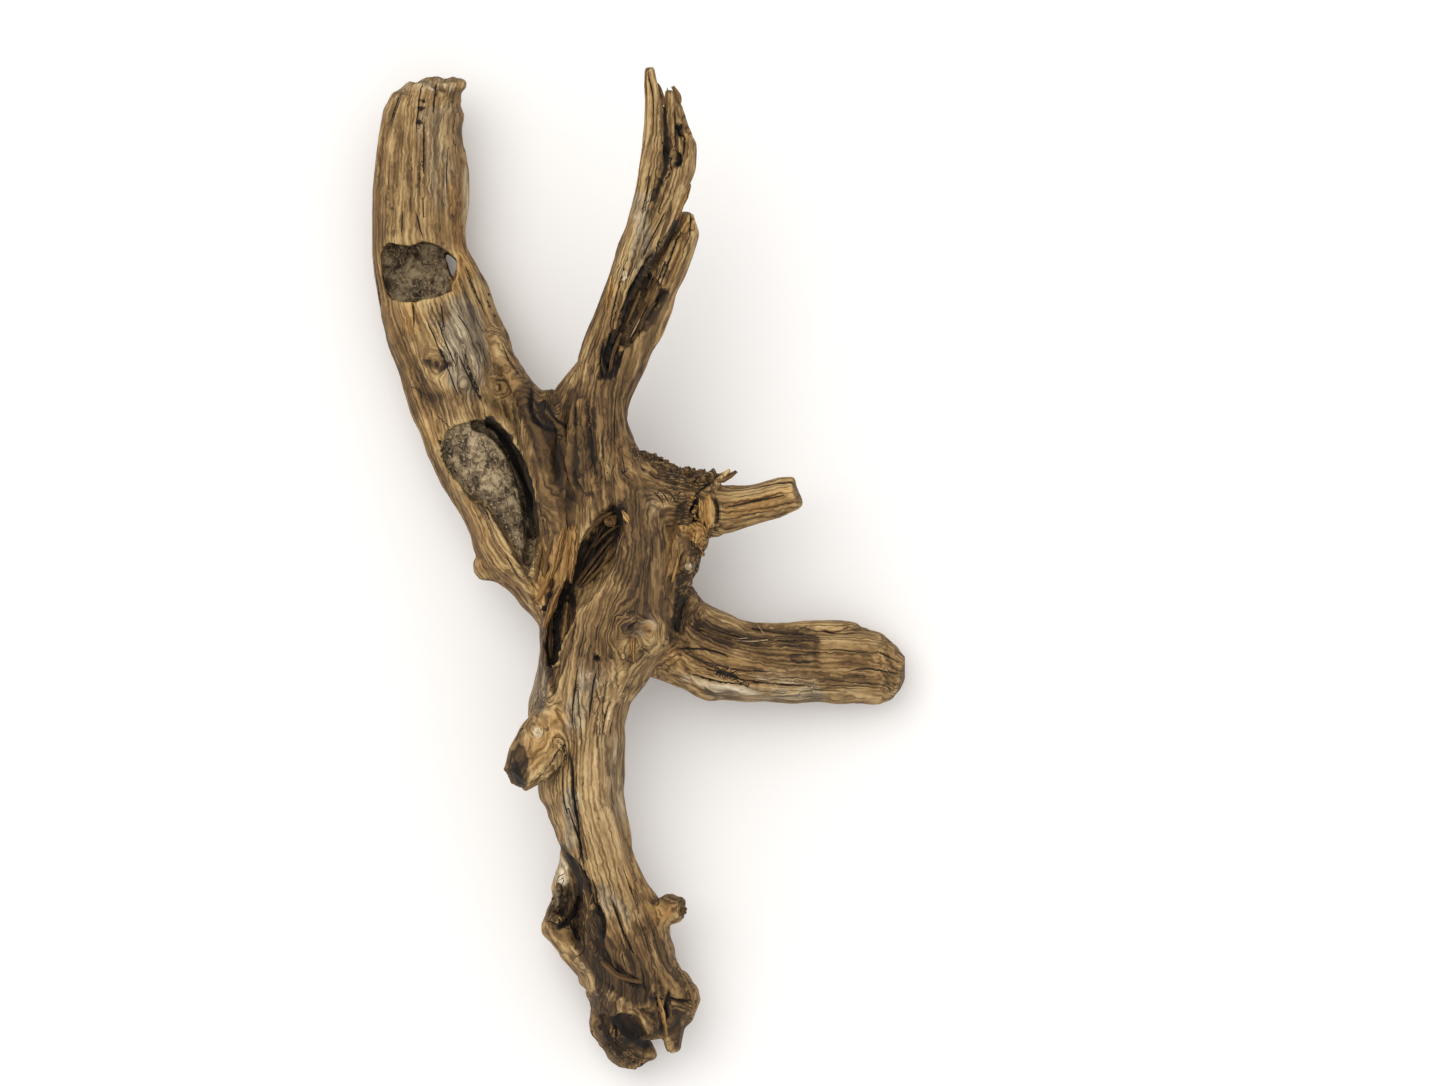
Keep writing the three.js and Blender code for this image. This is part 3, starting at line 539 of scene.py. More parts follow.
# Splinters that stand up from the wood: the line they follow, half their width and thickness, how far each
# end stands clear of the wood, and their finish.
SPLINTERS = [
    ([(42, 47.5), (46, 48.2), (51.5, 52)], 1.5, 1.3, (0.2, 1.2), "umber"),
    ([(-36, 22), (-38, 8), (-41, -7)], 2.2, 1.3, (0.2, 2.2), "gold"),
    ([(-40, 20), (-43, 6), (-46, -4)], 2.3, 1.3, (0.2, 1.8), "gold"),
    ([(-45, 19), (-48, 8), (-50, -2)], 2.0, 1.2, (0.2, 1.6), "umber"),
    ([(-33.5, 16), (-34.5, 5), (-36, -6)], 1.5, 1.2, (0.8, 2.4), "gold"),
    ([(-46, 1), (-50, -9), (-54, -16)], 1.8, 1.1, (0.4, 1.4), "gold"),
    ([(-41, -7), (-45.5, -18), (-49.4, -29)], 2.3, 1.4, (0.6, 1.4), "gold"),
    ([(-51, 12), (-53.5, 4), (-54.5, -6)], 1.5, 1.0, (0.2, 1.2), "umber"),
    ([(-33, 23.5), (-33.5, 12), (-33.6, 4)], 1.3, 1.1, (0.4, 2.0), "gold"),
    ([(-33.5, -8), (-26, 3), (-19, 12), (-13, 18.5)], 1.1, 1.4, (0.4, 3.0), "umber"),
    ([(-31, -8), (-23, 2), (-15, 13)], 0.8, 1.2, (0.6, 2.6), "umber"),
    ([(-29, -8), (-20, 1), (-11, 12)], 1.0, 1.3, (0.6, 2.4), "umber"),
    ([(-30, 4), (-24, 14), (-18, 24)], 1.0, 1.2, (1.0, 2.0), "dark"),
    ([(-28, 18), (-22, 27), (-14, 31)], 1.1, 1.2, (0.4, 1.6), "umber"),
    ([(-24, 12), (-17, 20), (-10, 24)], 0.9, 1.2, (1.0, 2.4), "umber"),
    ([(-7.5, 30.5), (-4.5, 25.5)], 1.7, 1.5, (0.4, 0.4), "gold"),
    ([(-38, -19), (-39, -28), (-40.3, -38.5)], 2.8, 2.6, (0.6, 0.6), "umber"),
    ([(-45.5, -20), (-47, -32), (-46.5, -46)], 1.3, 1.4, (0.4, 1.4), "umber"),
    ([(10.5, 257), (12.5, 251), (13.6, 245)], 1.3, 1.0, (0.2, 0.8), "umber"),
    ([(27.3, 203), (24, 195), (20.5, 187)], 1.4, 1.1, (0.6, 1.6), "gold"),
    ([(17.4, 194), (16, 186), (12, 176)], 1.1, 1.0, (0.4, 2.2), "umber"),
    ([(18.6, 255.5), (21, 252), (22.2, 247)], 1.6, 1.2, (0.4, 0.6), "umber"),
    ([(15.5, 255), (15.6, 249), (15.2, 243)], 0.5, 0.5, (0.2, 1.0), "gold"),
    ([(-16.6, 139), (-15, 148), (-13.6, 156)], 1.3, 0.9, (0.2, 0.8), "gold"),
    ([(-6.5, 130), (-2, 140), (1, 148)], 1.0, 1.1, (0.2, 1.8), "umber"),
    ([(-4, 126), (0, 133), (4, 140)], 1.0, 1.0, (0.2, 1.4), "umber"),
    ([(1, 128), (4, 136), (9, 142)], 1.1, 1.0, (0.2, 1.4), "umber"),
    ([(-15, 106), (-13, 116), (-9.5, 125)], 1.1, 1.1, (0.2, 2.0), "umber"),
    ([(8, 150), (11, 160), (13, 167)], 1.0, 0.9, (0.2, 1.2), "umber"),
    ([(36.5, 39), (37.5, 31), (38, 23)], 3.4, 1.5, (0.6, 1.6), "gold"),
    ([(33, 38), (33.4, 31), (33.8, 24)], 1.5, 1.3, (0.4, 1.8), "gold"),
    ([(22, 12), (20.5, 4), (18, -6)], 1.0, 0.9, (0.2, 1.0), "gold"),
    ([(28, -12), (24.5, -22), (22.5, -33)], 1.2, 1.1, (0.4, 1.2), "umber"),
    ([(60, -31), (74, -33.5), (88, -34)], 1.1, 0.9, (0.2, 0.7), "dark"),
    ([(33, -31), (44, -34.5), (54, -37)], 1.0, 0.9, (0.2, 0.9), "umber"),
    ([(-2.3, -36), (-2.6, -42), (-2.2, -48)], 1.7, 1.0, (0.2, 0.8), "gold"),
    ([(-31, -130), (-30, -142), (-27.5, -153)], 0.9, 0.9, (0.2, 1.2), "umber"),
    ([(-24, -172), (-26.5, -181), (-24, -190)], 1.2, 1.1, (0.4, 1.2), "umber"),
    ([(-20, -208), (-11, -216), (0, -219)], 1.7, 1.3, (0.2, 1.2), "umber"),
    ([(10, -226), (13, -236), (15, -247)], 1.3, 1.2, (0.2, 1.4), "gold"),
    ([(22, -214), (27, -223), (30, -233)], 1.3, 1.1, (0.2, 0.8), "umber"),
    ([(-20, -238), (-17, -248), (-10, -258)], 1.6, 1.4, (0.2, 1.0), "dark"),
    ([(-96, 170), (-92, 164), (-88, 157)], 1.8, 0.8, (0.4, 0.8), "gold"),
]

# Pale fibres that have lifted off: the line, half the thickness and how far they stand clear.
FIBRES = [
    ([(63, -29), (65, -31.5), (67, -34)], 0.35, (0.6, 1.6)),
    ([(50, -37), (60, -38), (69, -37)], 0.35, (0.4, 1.0)),
    ([(44, -34), (52, -36.6), (58, -36)], 0.3, (0.4, 1.0)),
    ([(-12, 8), (-10, 14), (-8, 20)], 0.3, (1.0, 2.4)),
    ([(5, 150), (8, 157), (12, 162)], 0.3, (0.6, 2.0)),
    ([(-4, 124), (0, 131), (3, 139)], 0.3, (0.4, 1.4)),
]

# Crumbs of bark: the line they lie along, how many, how far they stray from it, their radius and finish.
CRUMBS = [
    ([(-1, 65.5), (7, 62.3), (17.5, 56.5), (30, 53), (42, 54)], 34, 1.4, 1.7, "umber"),
    ([(2, 60), (14, 57), (28, 50), (38, 47)], 34, 3.6, 1.5, "umber"),
    ([(29, 39), (30.5, 32), (31, 25)], 10, 1.4, 1.3, "gold"),
    ([(34, 14), (33, 8)], 7, 1.6, 1.5, "gold"),
    ([(30.8, 20)], 1, 0.1, 5.2, "gold"),
    ([(24.3, 22.3)], 1, 0.1, 3.2, "gold"),
    ([(-17, 27), (-13, 26.5)], 3, 2.0, 3.0, "umber"),
    ([(-12, 20), (-22, 6), (-30, -4)], 14, 3.0, 1.2, "dark"),
    ([(-38, -14), (-44, -24), (-46, -40)], 10, 3.0, 1.3, "dark"),
    ([(8, 166), (0, 150), (-9, 128)], 16, 2.6, 1.1, "dark"),
    ([(-7.3, 157), (-6, 155)], 5, 1.4, 0.8, "pale"),
    ([(-80.5, 147), (-80.8, 142), (-74.4, 133), (-70.5, 130)], 5, 0.5, 1.0, "dark"),
    ([(-55, 25), (-55, 13)], 5, 0.6, 0.9, "umber"),
    ([(26.5, 2.5), (27.5, 2)], 1, 0.1, 2.2, "pale"),
    ([(22, -182), (27, -180), (28, -184)], 9, 1.2, 1.4, "umber"),
    ([(-42, -168), (-46, -178), (-44, -190)], 9, 1.4, 1.4, "umber"),
    ([(-20, -244), (-12, -258), (2, -264)], 9, 1.6, 1.4, "dark"),
]


def linear(red, green, blue):
    """A colour given as it looks on screen, 0 to 255, as the shader's own numbers."""
    shares = [value / 255 for value in (red, green, blue)]
    return tuple(s / 12.92 if s <= 0.04045 else ((s + 0.055) / 1.055) ** 2.4 for s in shares)


def smoothstep(low, high, value):
    """From 0 below the low value to 1 above the high one, with no corners."""
    t = np.clip((value - low) / (high - low), 0, 1)
    return t * t * (3 - 2 * t)


LATTICE = np.random.default_rng(5).random(1 << 16)  # the noise's values, in a fixed order


def lattice(x, y, z, seed):
    """A repeatable number from 0 to 1 for each whole-numbered point."""
    mixed = (x * 73856093) ^ (y * 19349663) ^ (z * 83492791) ^ (seed * 49979687)
    mixed ^= mixed >> 15
    return LATTICE[((mixed * 668265263) >> 11) & 0xFFFF]


def noise(points, seed=0, octaves=1):
    """Smooth noise from -1 to 1 with one swell to a unit, and finer swells for each further octave."""
    total = np.zeros(len(points))
    size = 1.0
    share = 0.0
    for octave in range(octaves):
        spot = points / size
        cell = np.floor(spot).astype(np.int64)
        part = spot - cell
        part = part * part * (3 - 2 * part)
        value = np.zeros(len(points))
        for dx in (0, 1):
            for dy in (0, 1):
                for dz in (0, 1):
                    weight = np.where(dx, part[:, 0], 1 - part[:, 0])
                    weight = weight * np.where(dy, part[:, 1], 1 - part[:, 1])
                    weight = weight * np.where(dz, part[:, 2], 1 - part[:, 2])
                    corner = lattice(cell[:, 0] + dx, cell[:, 1] + dy, cell[:, 2] + dz, seed + octave)
                    value += weight * corner
        total += size * (2 * value - 1)
        share += size
        size /= 2
    return total / share


class Surface:
    """A mesh's points, normals and edges as arrays, in millimetres."""

    def __init__(self, mesh):
        count = len(mesh.vertices)
        flat = np.empty(count * 3, np.float32)
        mesh.vertices.foreach_get("co", flat)
        self.mesh = mesh
        self.place = flat.reshape(-1, 3).astype(float) / MM
        ends = np.empty(len(mesh.edges) * 2, np.int32)
        mesh.edges.foreach_get("vertices", ends)
        self.ends = ends.reshape(-1, 2)
        self.neighbours = np.bincount(ends, minlength=count).astype(float)

    def write(self):
        """Puts the points back into the mesh."""
        self.mesh.vertices.foreach_set("co", (self.place * MM).astype(np.float32).ravel())
        self.mesh.update()

    def normals(self):
        flat = np.empty(len(self.place) * 3, np.float32)
        self.mesh.vertex_normals.foreach_get("vector", flat)
        return flat.reshape(-1, 3).astype(float)

    def mean(self, values):
        """The mean of each point's neighbours."""
        if values.ndim == 2:
            return np.stack([self.mean(column) for column in values.T], axis=1)
        a, b = self.ends.T
        total = np.bincount(a, values[b], len(values)) + np.bincount(b, values[a], len(values))
        return total / self.neighbours

    def soften(self, values, rounds, share=0.5):
        """The values, each drawn towards its neighbours' mean some rounds."""
        for _ in range(rounds):
            values = values + share * (self.mean(values) - values)
        return values

    def relax(self, rounds, share=0.5, back=0.53):
        """Smooths the shape and pushes it out again each time, so that thin limbs keep their size."""
        for _ in range(rounds):
            self.place = self.place + share * (self.mean(self.place) - self.place)
            self.place = self.place - back * (self.mean(self.place) - self.place)

    def store(self, name, values):
        """Keeps a number, or three, for each point under a name that the shader reads."""
        kind = "FLOAT_VECTOR" if values.ndim == 2 else "FLOAT"
        layer = self.mesh.attributes.new(name, kind, "POINT")
        layer.data.foreach_set("vector" if values.ndim == 2 else "value", values.astype(np.float32).ravel())


SPINE_STEP = 6.0
SPINE_BLUR = 2  # neighbours on each side that a spine's point is averaged with


def spine(stations):
    """A limb's middle line as evenly spaced rows of x, y, z and half sizes, and the distance along it."""
    stations = np.array(stations, float)
    reach = np.concatenate([[0], np.cumsum(np.linalg.norm(np.diff(stations[:, :3], axis=0), axis=1))])
    steps = np.linspace(0, reach[-1], max(4, int(reach[-1] / SPINE_STEP)))
    rows = np.stack([np.interp(steps, reach, column) for column in stations.T], axis=1)
    padded = np.pad(rows, ((SPINE_BLUR, SPINE_BLUR), (0, 0)), mode="reflect", reflect_type="odd")
    window = 2 * SPINE_BLUR + 1
    rows = sum(padded[i:i + len(rows)] for i in range(window)) / window
    return rows, steps


def unit(vectors):
    """The vectors at a length of one."""
    return vectors / np.maximum(np.linalg.norm(vectors, axis=1, keepdims=True), 1e-9)


class Grain:
    """The direction of the grain, and each point's distance across, up and along it."""

    SHARPNESS = 5.0  # how quickly one limb's grain takes over from another's
    BATCH = 20000  # places worked out together

    def __init__(self, limbs):
        middles, tangents, sizes, starts, shifts = [], [], [], [], []
        for start, shift, stations in limbs.values():
            rows, steps = spine(stations)
            middles.append(rows[:, :3])
            tangents.append(unit(np.gradient(rows[:, :3], axis=0)))
            sizes.append(rows[:, 3:])
            starts.append(start + steps)
            shifts.append(np.full(len(steps), float(shift)))
        self.middle = np.concatenate(middles)
        self.along = np.concatenate(tangents)
        self.size = np.concatenate(sizes)
        self.start = np.concatenate(starts)
        self.shift = np.concatenate(shifts)
        self.side = unit(np.cross(self.along, (0, 0, 1)))
        self.lift = np.cross(self.side, self.along)

    def offsets(self, place, directions):
        """How far each place lies from each middle point in that point's own direction."""
        return place @ directions.T - (self.middle * directions).sum(axis=1)

    def at(self, place):
        """Distances across, up and along the grain, its direction, and how far out in its limb a place is.

        A limb's half width and half thickness count as one.
        """
        coordinates = np.empty((len(place), 3))
        direction = np.empty((len(place), 3))
        outwards = np.empty(len(place))
        for first in range(0, len(place), self.BATCH):
            some = place[first:first + self.BATCH]
            across = self.offsets(some, self.side)
            up = self.offsets(some, self.lift)
            along = self.offsets(some, self.along)
            half_width, half_thickness = self.size.T
            stride = np.maximum(0.5 * half_width, SPINE_STEP)
            reach = np.sqrt((across / half_width) ** 2 + (up / half_thickness) ** 2 + (along / stride) ** 2)
            weight = np.exp(-self.SHARPNESS * (reach - reach.min(axis=1, keepdims=True)))
            weight /= weight.sum(axis=1, keepdims=True)
            last = first + len(some)
            outwards[first:last] = reach.min(axis=1)
            coordinates[first:last, 0] = (weight * (across + self.shift)).sum(axis=1)
            coordinates[first:last, 1] = (weight * up).sum(axis=1)
            coordinates[first:last, 2] = (weight * (along + self.start)).sum(axis=1)
            direction[first:last] = weight @ self.along
        return coordinates, unit(direction), outwards


def depth_inside(place, outline):
    """How far inside an outline seen from above each place lies, and below nothing outside it."""
    corners = np.array([*outline, outline[0]], float)
    inside = np.zeros(len(place), bool)
    nearest = np.full(len(place), np.inf)
    x, y = place[:, 0], place[:, 1]
    for (ax, ay), (bx, by) in zip(corners[:-1], corners[1:]):
        crosses = (ay > y) != (by > y)
        with np.errstate(divide="ignore", invalid="ignore"):
            inside ^= crosses & (x < (bx - ax) * (y - ay) / (by - ay) + ax)
        run = np.array((bx - ax, by - ay))
        t = np.clip(((x - ax) * run[0] + (y - ay) * run[1]) / (run @ run), 0, 1)
        nearest = np.minimum(nearest, np.hypot(x - ax - t * run[0], y - ay - t * run[1]))
    return np.where(inside, nearest, -nearest)


def rounded(values, rounds):
    """A row of values, each drawn towards its neighbours some rounds, with the ends kept."""
    for _ in range(rounds):
        values[1:-1] = (values[:-2] + 2 * values[1:-1] + values[2:]) / 4
    return values


def smooth_line(points, step=2.0):
    """More points along a given line, with its corners rounded."""
    points = np.array(points, float)
    if len(points) == 1:
        return points
    reach = np.concatenate([[0], np.cumsum(np.linalg.norm(np.diff(points, axis=0), axis=1))])
    steps = np.linspace(0, reach[-1], max(2, int(reach[-1] / step) + 1))
    line = np.stack([np.interp(steps, reach, column) for column in points.T], axis=1)
    return rounded(line, 3)


def near_line(place, normal, line, reach):
    """For the places near a line: their index, distance, side, and share of the way along it."""
    low = line.min(axis=0) - reach
    high = line.max(axis=0) + reach
    spots = place[:, :line.shape[1]]
    near = np.flatnonzero(np.all((spots > low) & (spots < high), axis=1))
    spots = spots[near]
    best = np.full(len(near), np.inf)
    side = np.ones(len(near))
    share = np.zeros(len(near))
    if len(line) == 1:
        return near, np.linalg.norm(spots - line[0], axis=1), side, share + 0.5
    for i, (start, end) in enumerate(zip(line[:-1], line[1:])):
        run = end - start
        t = np.clip(((spots - start) @ run) / max(run @ run, 1e-9), 0, 1)
        offset = spots - (start + t[:, None] * run)
        distance = np.linalg.norm(offset, axis=1)
        closer = distance < best
        best[closer] = distance[closer]
        if line.shape[1] == 3:
            turn = np.cross(normal[near], run)
            side[closer] = np.sign((offset * turn).sum(axis=1))[closer]
        share[closer] = ((i + t) / (len(line) - 1))[closer]
    keep = best < reach
    return near[keep], best[keep], side[keep], share[keep]


class Sculptor:
    """Carves a surface, lays finishes on it and paints shade on it."""

    CELL = 1.5  # of the table of greatest heights
    CELLS = 400
    NARROWEST = 1.9  # half width of the narrowest groove that the points can follow
    CHECK_STEP = 3  # between the points of a short crack
    MID_HEIGHT = 60  # of the wood
    NO_CRACK = (9.0, 9.0, 0.0)  # far from any: in its half widths, past its side, and a number left unused

    def __init__(self, surface, grain):
        self.surface = surface
        self.place = surface.place
        self.normal = unit(surface.soften(surface.normals(), 3))
        self.up = smoothstep(-0.3, 0.15, self.normal[:, 2])
        self.grain, self.along, self.outwards = grain.at(surface.place)
        count = len(surface.place)
        self.rise = np.zeros(count)
        self.crack = np.tile(self.NO_CRACK, (count, 1))
        self.stains_and_shade = {name: np.zeros(count) for name in STAINS_AND_SHADE}
        self.crown = np.full((self.CELLS, self.CELLS), -1.0)
        cells = (surface.place[:, :2] / self.CELL).astype(int) + self.CELLS // 2
        np.maximum.at(self.crown, tuple(cells.T), surface.place[:, 2])
        self.tree = kdtree.KDTree(count)
        for i, spot in enumerate(surface.place):
            self.tree.insert(spot, i)
        self.tree.balance()

    def top(self, x, y):
        """The highest place on the surface at a spot seen from above."""
        column, row = (np.array((x, y)) / self.CELL).astype(int) + self.CELLS // 2
        height = self.crown[column - 1:column + 2, row - 1:row + 2].max()
        if height < 0:
            return Vector(self.tree.find((x, y, self.MID_HEIGHT))[0])
        return Vector((x, y, height))

    def drape(self, points):
        """Lays a line of x, y on the surface."""
        line = smooth_line(points)
        heights = rounded(np.array([self.top(x, y).z for x, y in line]), 2)
        return np.column_stack([line, heights])

    def carve_crack(self, line, half_width, depth):
        """A crack along a line on the surface, narrow towards its ends."""
        near, distance, side, share = near_line(self.place, self.normal, line, half_width * 4 + 4)
        taper = np.clip(4 * share * (1 - share), 0, 1) ** 0.5
        taper = np.maximum(taper, 0.05)
        ragged = 0.35 * noise(self.place[near] / 3.0, seed=11, octaves=2)
        width = half_width * (0.6 + 0.4 * taper) * (1 + ragged)
        groove = np.maximum(width * 1.5, self.NARROWEST)
        profile = 1 - smoothstep(0, 1, distance / groove)
        self.rise[near] -= depth * taper * profile * np.minimum(1, width * 1.5 / groove)
        scaled = distance / width + (1 - taper) ** 3 * 2
        closer = scaled < abs(self.crack[near, 0])
        chosen = near[closer]
        self.crack[chosen, 0] = (side * scaled)[closer]
        self.crack[chosen, 1] = (distance - width)[closer]

    def raise_form(self, line, half_width, height):
        """A ridge or a trough along a line on the surface, that fades out at its ends."""
        near, distance, _, share = near_line(self.place, self.normal, line, half_width * 2.2)
        taper = smoothstep(0, 0.22, share) * smoothstep(0, 0.22, 1 - share)
        width = half_width * (1 + 0.3 * noise(self.place[near] / 6, seed=12, octaves=2))
        profile = 1 - smoothstep(0, 1, distance / (1.6 * width))
        self.rise[near] += height * taper * profile

    def add_stain_or_shade(self, name, near, strength):
        """Gives some points a finish or painted shade, where they don't have more of it already."""
        self.stains_and_shade[name][near] = np.maximum(self.stains_and_shade[name][near], strength)

    def lay_plate(self, outline, rise, finish, strength):
        """Raises or sinks an area with a ragged edge and gives it a finish; painted shade lines its edge."""
        low, high = np.min(outline, axis=0) - 4, np.max(outline, axis=0) + 4
        flat = self.place[:, :2]
        near = np.flatnonzero(np.all((flat > low) & (flat < high), axis=1) & (self.up > 0))
        ragged = 0.9 * noise(self.place[near] / 3, seed=16, octaves=2)
        depth = depth_inside(self.place[near], outline) + ragged
        share = smoothstep(-0.5, 0.8, depth) * self.up[near]
        self.rise[near] += rise * share
        self.add_stain_or_shade(finish, near, strength * share)
        # Painted shade along the step at the plate's edge, in the dark finish.
        rim = (1 - smoothstep(0.3, 1.6, abs(depth))) * self.up[near] * min(1.0, 0.35 * abs(rise))
        self.add_stain_or_shade("dark", near, rim)

    def weather_checks(self, count, seed):
        """Short cracks along the grain, wherever the draw puts them."""
        draw = np.random.default_rng(seed)
        for start in draw.choice(len(self.place), count, replace=False):
            length = draw.uniform(8, 34)
            line = [self.place[start]]
            spot = Vector(self.place[start])
            index = start
            for _ in range(int(length / self.CHECK_STEP)):
                spot = spot + Vector(self.along[index]) * self.CHECK_STEP
                found, index, _ = self.tree.find(spot)
                spot = Vector(found)
                line.append(np.array(found))
            size = draw.uniform(0.3, 0.62) * (0.6 + length / 50)
            self.carve_crack(rounded(np.array(line), 2), size, size * 2.6)

    def turn_knots(self, knots):
        """Bends the grain round each knot and turns it into rings inside."""
        for x, y, radius, rise in knots:
            spot, index, _ = self.tree.find(self.top(x, y))
            middle = self.grain[index]
            offset = self.grain - middle
            reach = np.sqrt(offset[:, 0] ** 2 + (0.75 * offset[:, 2]) ** 2 + (0.6 * offset[:, 1]) ** 2)
            reach *= 1 + 0.22 * noise(self.place / 6, seed=13, octaves=2)
            outside = reach > radius
            near = np.linalg.norm(self.place - np.array(spot), axis=1)
            fade = 1 - smoothstep(radius * 3.5, radius * 5, near)
            shift = np.where(outside, -offset[:, 0] * radius ** 2 / np.maximum(reach, 0.1) ** 2,
                             1.3 * (reach - radius) - offset[:, 0])
            self.grain[:, 0] += shift * fade
            self.rise += rise * (1 - smoothstep(radius * 0.7, radius * 1.4, near))

    def press_pits(self, pits):
        """Small holes with ragged rims, painted dark inside as shade."""
        for x, y, radius, depth in pits:
            spot = np.array(self.top(x, y))
            distance = np.linalg.norm(self.place - spot, axis=1)
            distance = distance + 0.3 * radius * noise(self.place / 1.7, seed=3)
            hole = 1 - smoothstep(radius * 0.6, radius * 1.2, distance)
            self.rise -= depth * hole
            # Painted shade inside each hole.
            self.add_stain_or_shade("dark", slice(None), hole)

    def stain_and_shade(self, stains_and_shade):
        """Patches of finish and of painted shade along their strokes, ragged along the grain, on the wood's
        upper side.
        """
        ragged = noise(np.column_stack([self.grain[:, :2] / 5, self.grain[:, 2] / 18]), seed=21, octaves=3)
        for name, strokes in stains_and_shade.items():
            for strength, radius, points in strokes:
                line = smooth_line(points, 4.0)
                near, distance, _, _ = near_line(self.place, self.normal, line, radius * 2)
                distance = distance + 0.6 * radius * ragged[near]
                patch = strength * (1 - smoothstep(radius * 0.5, radius * 1.3, distance)) * self.up[near]
                self.add_stain_or_shade(name, near, patch)


MOST_TRIANGLES = 194000  # in the main piece
MERGE_DISTANCE = 0.01  # between points of the measured solid that are one
EVEN_ROUNDS = 14  # of smoothing, which take the solid's facets away
DEEP_ROUNDS = 30  # of smoothing, against which a place counts as sunk
FOLD_ROUNDS = 4  # of smoothing, against which a place counts as folded in
OVERHANG = 0.5  # how far the carving may stand past the measured box
RESTING = 1.0  # height under which the wood is never built up, so that it still rests on its flats
WEATHER_CHECKS = 220

# The ridges along the grain: a swell's size across and along it, and how much it counts.
RIDGES = [
    (9, 70, 0.8),
    (4.2, 48, 0.55),
    (2.4, 26, 0.35),
]
RIDGE_WOBBLE = 1.4  # how far the ridges stray sideways
LUMP_SIZE = 15
LUMP_HEIGHT = 0.7


def placed(name, data):
    """A new object in the scene."""
    thing = bpy.data.objects.new(name, data)
    bpy.context.scene.collection.objects.link(thing)
    return thing


def modified(mesh, kind, **settings):
    """The mesh as one modifier leaves it."""
    holder = placed("holder", mesh)
    modifier = holder.modifiers.new(kind.lower(), kind)
    for key, value in settings.items():
        setattr(modifier, key, value)
    graph = bpy.context.evaluated_depsgraph_get()
    made = bpy.data.meshes.new_from_object(
        holder.evaluated_get(graph), preserve_all_data_layers=True, depsgraph=graph)
    bpy.data.objects.remove(holder)
    return made


def drop_bubbles(mesh):
    """Keeps the mesh's largest connected part, and deletes the tiny closed bubbles inside the wood."""
    bm = bmesh.new()
    bm.from_mesh(mesh)
    waiting = set(bm.verts)
    parts = []
    while waiting:
        front = [waiting.pop()]
        part = []
        while front:
            vert = front.pop()
            part.append(vert)
            beside = {edge.other_vert(vert) for edge in vert.link_edges} & waiting
            waiting -= beside
            front.extend(beside)
        parts.append(part)
    parts.sort(key=len)
    bubbles = [vert for part in parts[:-1] for vert in part]
    bmesh.ops.delete(bm, geom=bubbles, context="VERTS")
    bm.to_mesh(mesh)
    bm.free()


def even_surface(step):
    """The measured solid with evenly spaced points, filled out where SWELLS says, and without its facets."""
    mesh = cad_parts[NODE].data.copy()
    bm = bmesh.new()
    bm.from_mesh(mesh)
    bmesh.ops.remove_doubles(bm, verts=bm.verts, dist=MERGE_DISTANCE * MM)
    bm.to_mesh(mesh)
    bm.free()
    surface = Surface(modified(mesh, "REMESH", mode="VOXEL", voxel_size=step))
    for x, y, reach, across, along in SWELLS:
        distance = np.hypot(surface.place[:, 0] - x, surface.place[:, 1] - y)
        share = 1 - smoothstep(0.2, 1, distance / reach)
        surface.place[:, :2] += share[:, None] * np.array((across, along))
    surface.relax(EVEN_ROUNDS)
    surface.write()
    return surface


def rotten_share(sculptor):
    """How rotten each place is: the floors of the left limb's hollows, and not the skin below them."""
    place = sculptor.place
    rot = np.zeros(len(place))
    for edge in HOLLOW_EDGES.values():
        depth = depth_inside(place, edge) + 0.8 * noise(place / 4, seed=7, octaves=2)
        rot = np.maximum(rot, smoothstep(-1.0, 0.8, depth))
    return rot * (1 - smoothstep(0.88, 0.96, sculptor.outwards))


def raise_ridges(sculptor, rot, height):
    """Ridges along the grain, strips where the wood is torn, and rough bark and hollows' floors."""
    place = sculptor.place
    wobble = RIDGE_WOBBLE * noise(place / 14, seed=31, octaves=2)
    across = sculptor.grain[:, :2] + wobble[:, None]
    along = sculptor.grain[:, 2:]
    relief = 0
    for seed, (width, length, share) in enumerate(RIDGES, start=1):
        relief = relief + share * noise(np.column_stack([across / width, along / length]), seed=seed)
    lumps = noise(place / LUMP_SIZE, seed=4, octaves=2)
    quiet = 1 - 0.8 * rot
    sculptor.rise += height / MM * quiet * relief + LUMP_HEIGHT * lumps
    strips = 0.5 - abs(noise(np.column_stack([across / 3.6, along / 30]), seed=5, octaves=2))
    sculptor.rise += sculptor.stains_and_shade["torn"] * (2.6 * strips - 0.7)
    sculptor.rise += sculptor.stains_and_shade["bark"] * (1.3 * noise(place / 3.4, seed=9, octaves=2) + 0.2)
    sculptor.rise += rot * 0.5 * noise(place / 3.2, seed=6, octaves=2)


def apply_carving(sculptor):
    """Moves the points by what was carved, within the measured box and not below the ground."""
    surface = sculptor.surface
    low = surface.place[:, 2] < RESTING
    sculptor.rise[low] = np.minimum(sculptor.rise[low], 0)
    lowest, highest = (np.array(corner) / MM for corner in CAD_BOX)
    place = surface.place + sculptor.normal * sculptor.rise[:, None]
    place = np.clip(place, lowest - OVERHANG, highest + OVERHANG)
    place[:, 2] = np.maximum(place[:, 2], 0)
    surface.place = place
    surface.write()


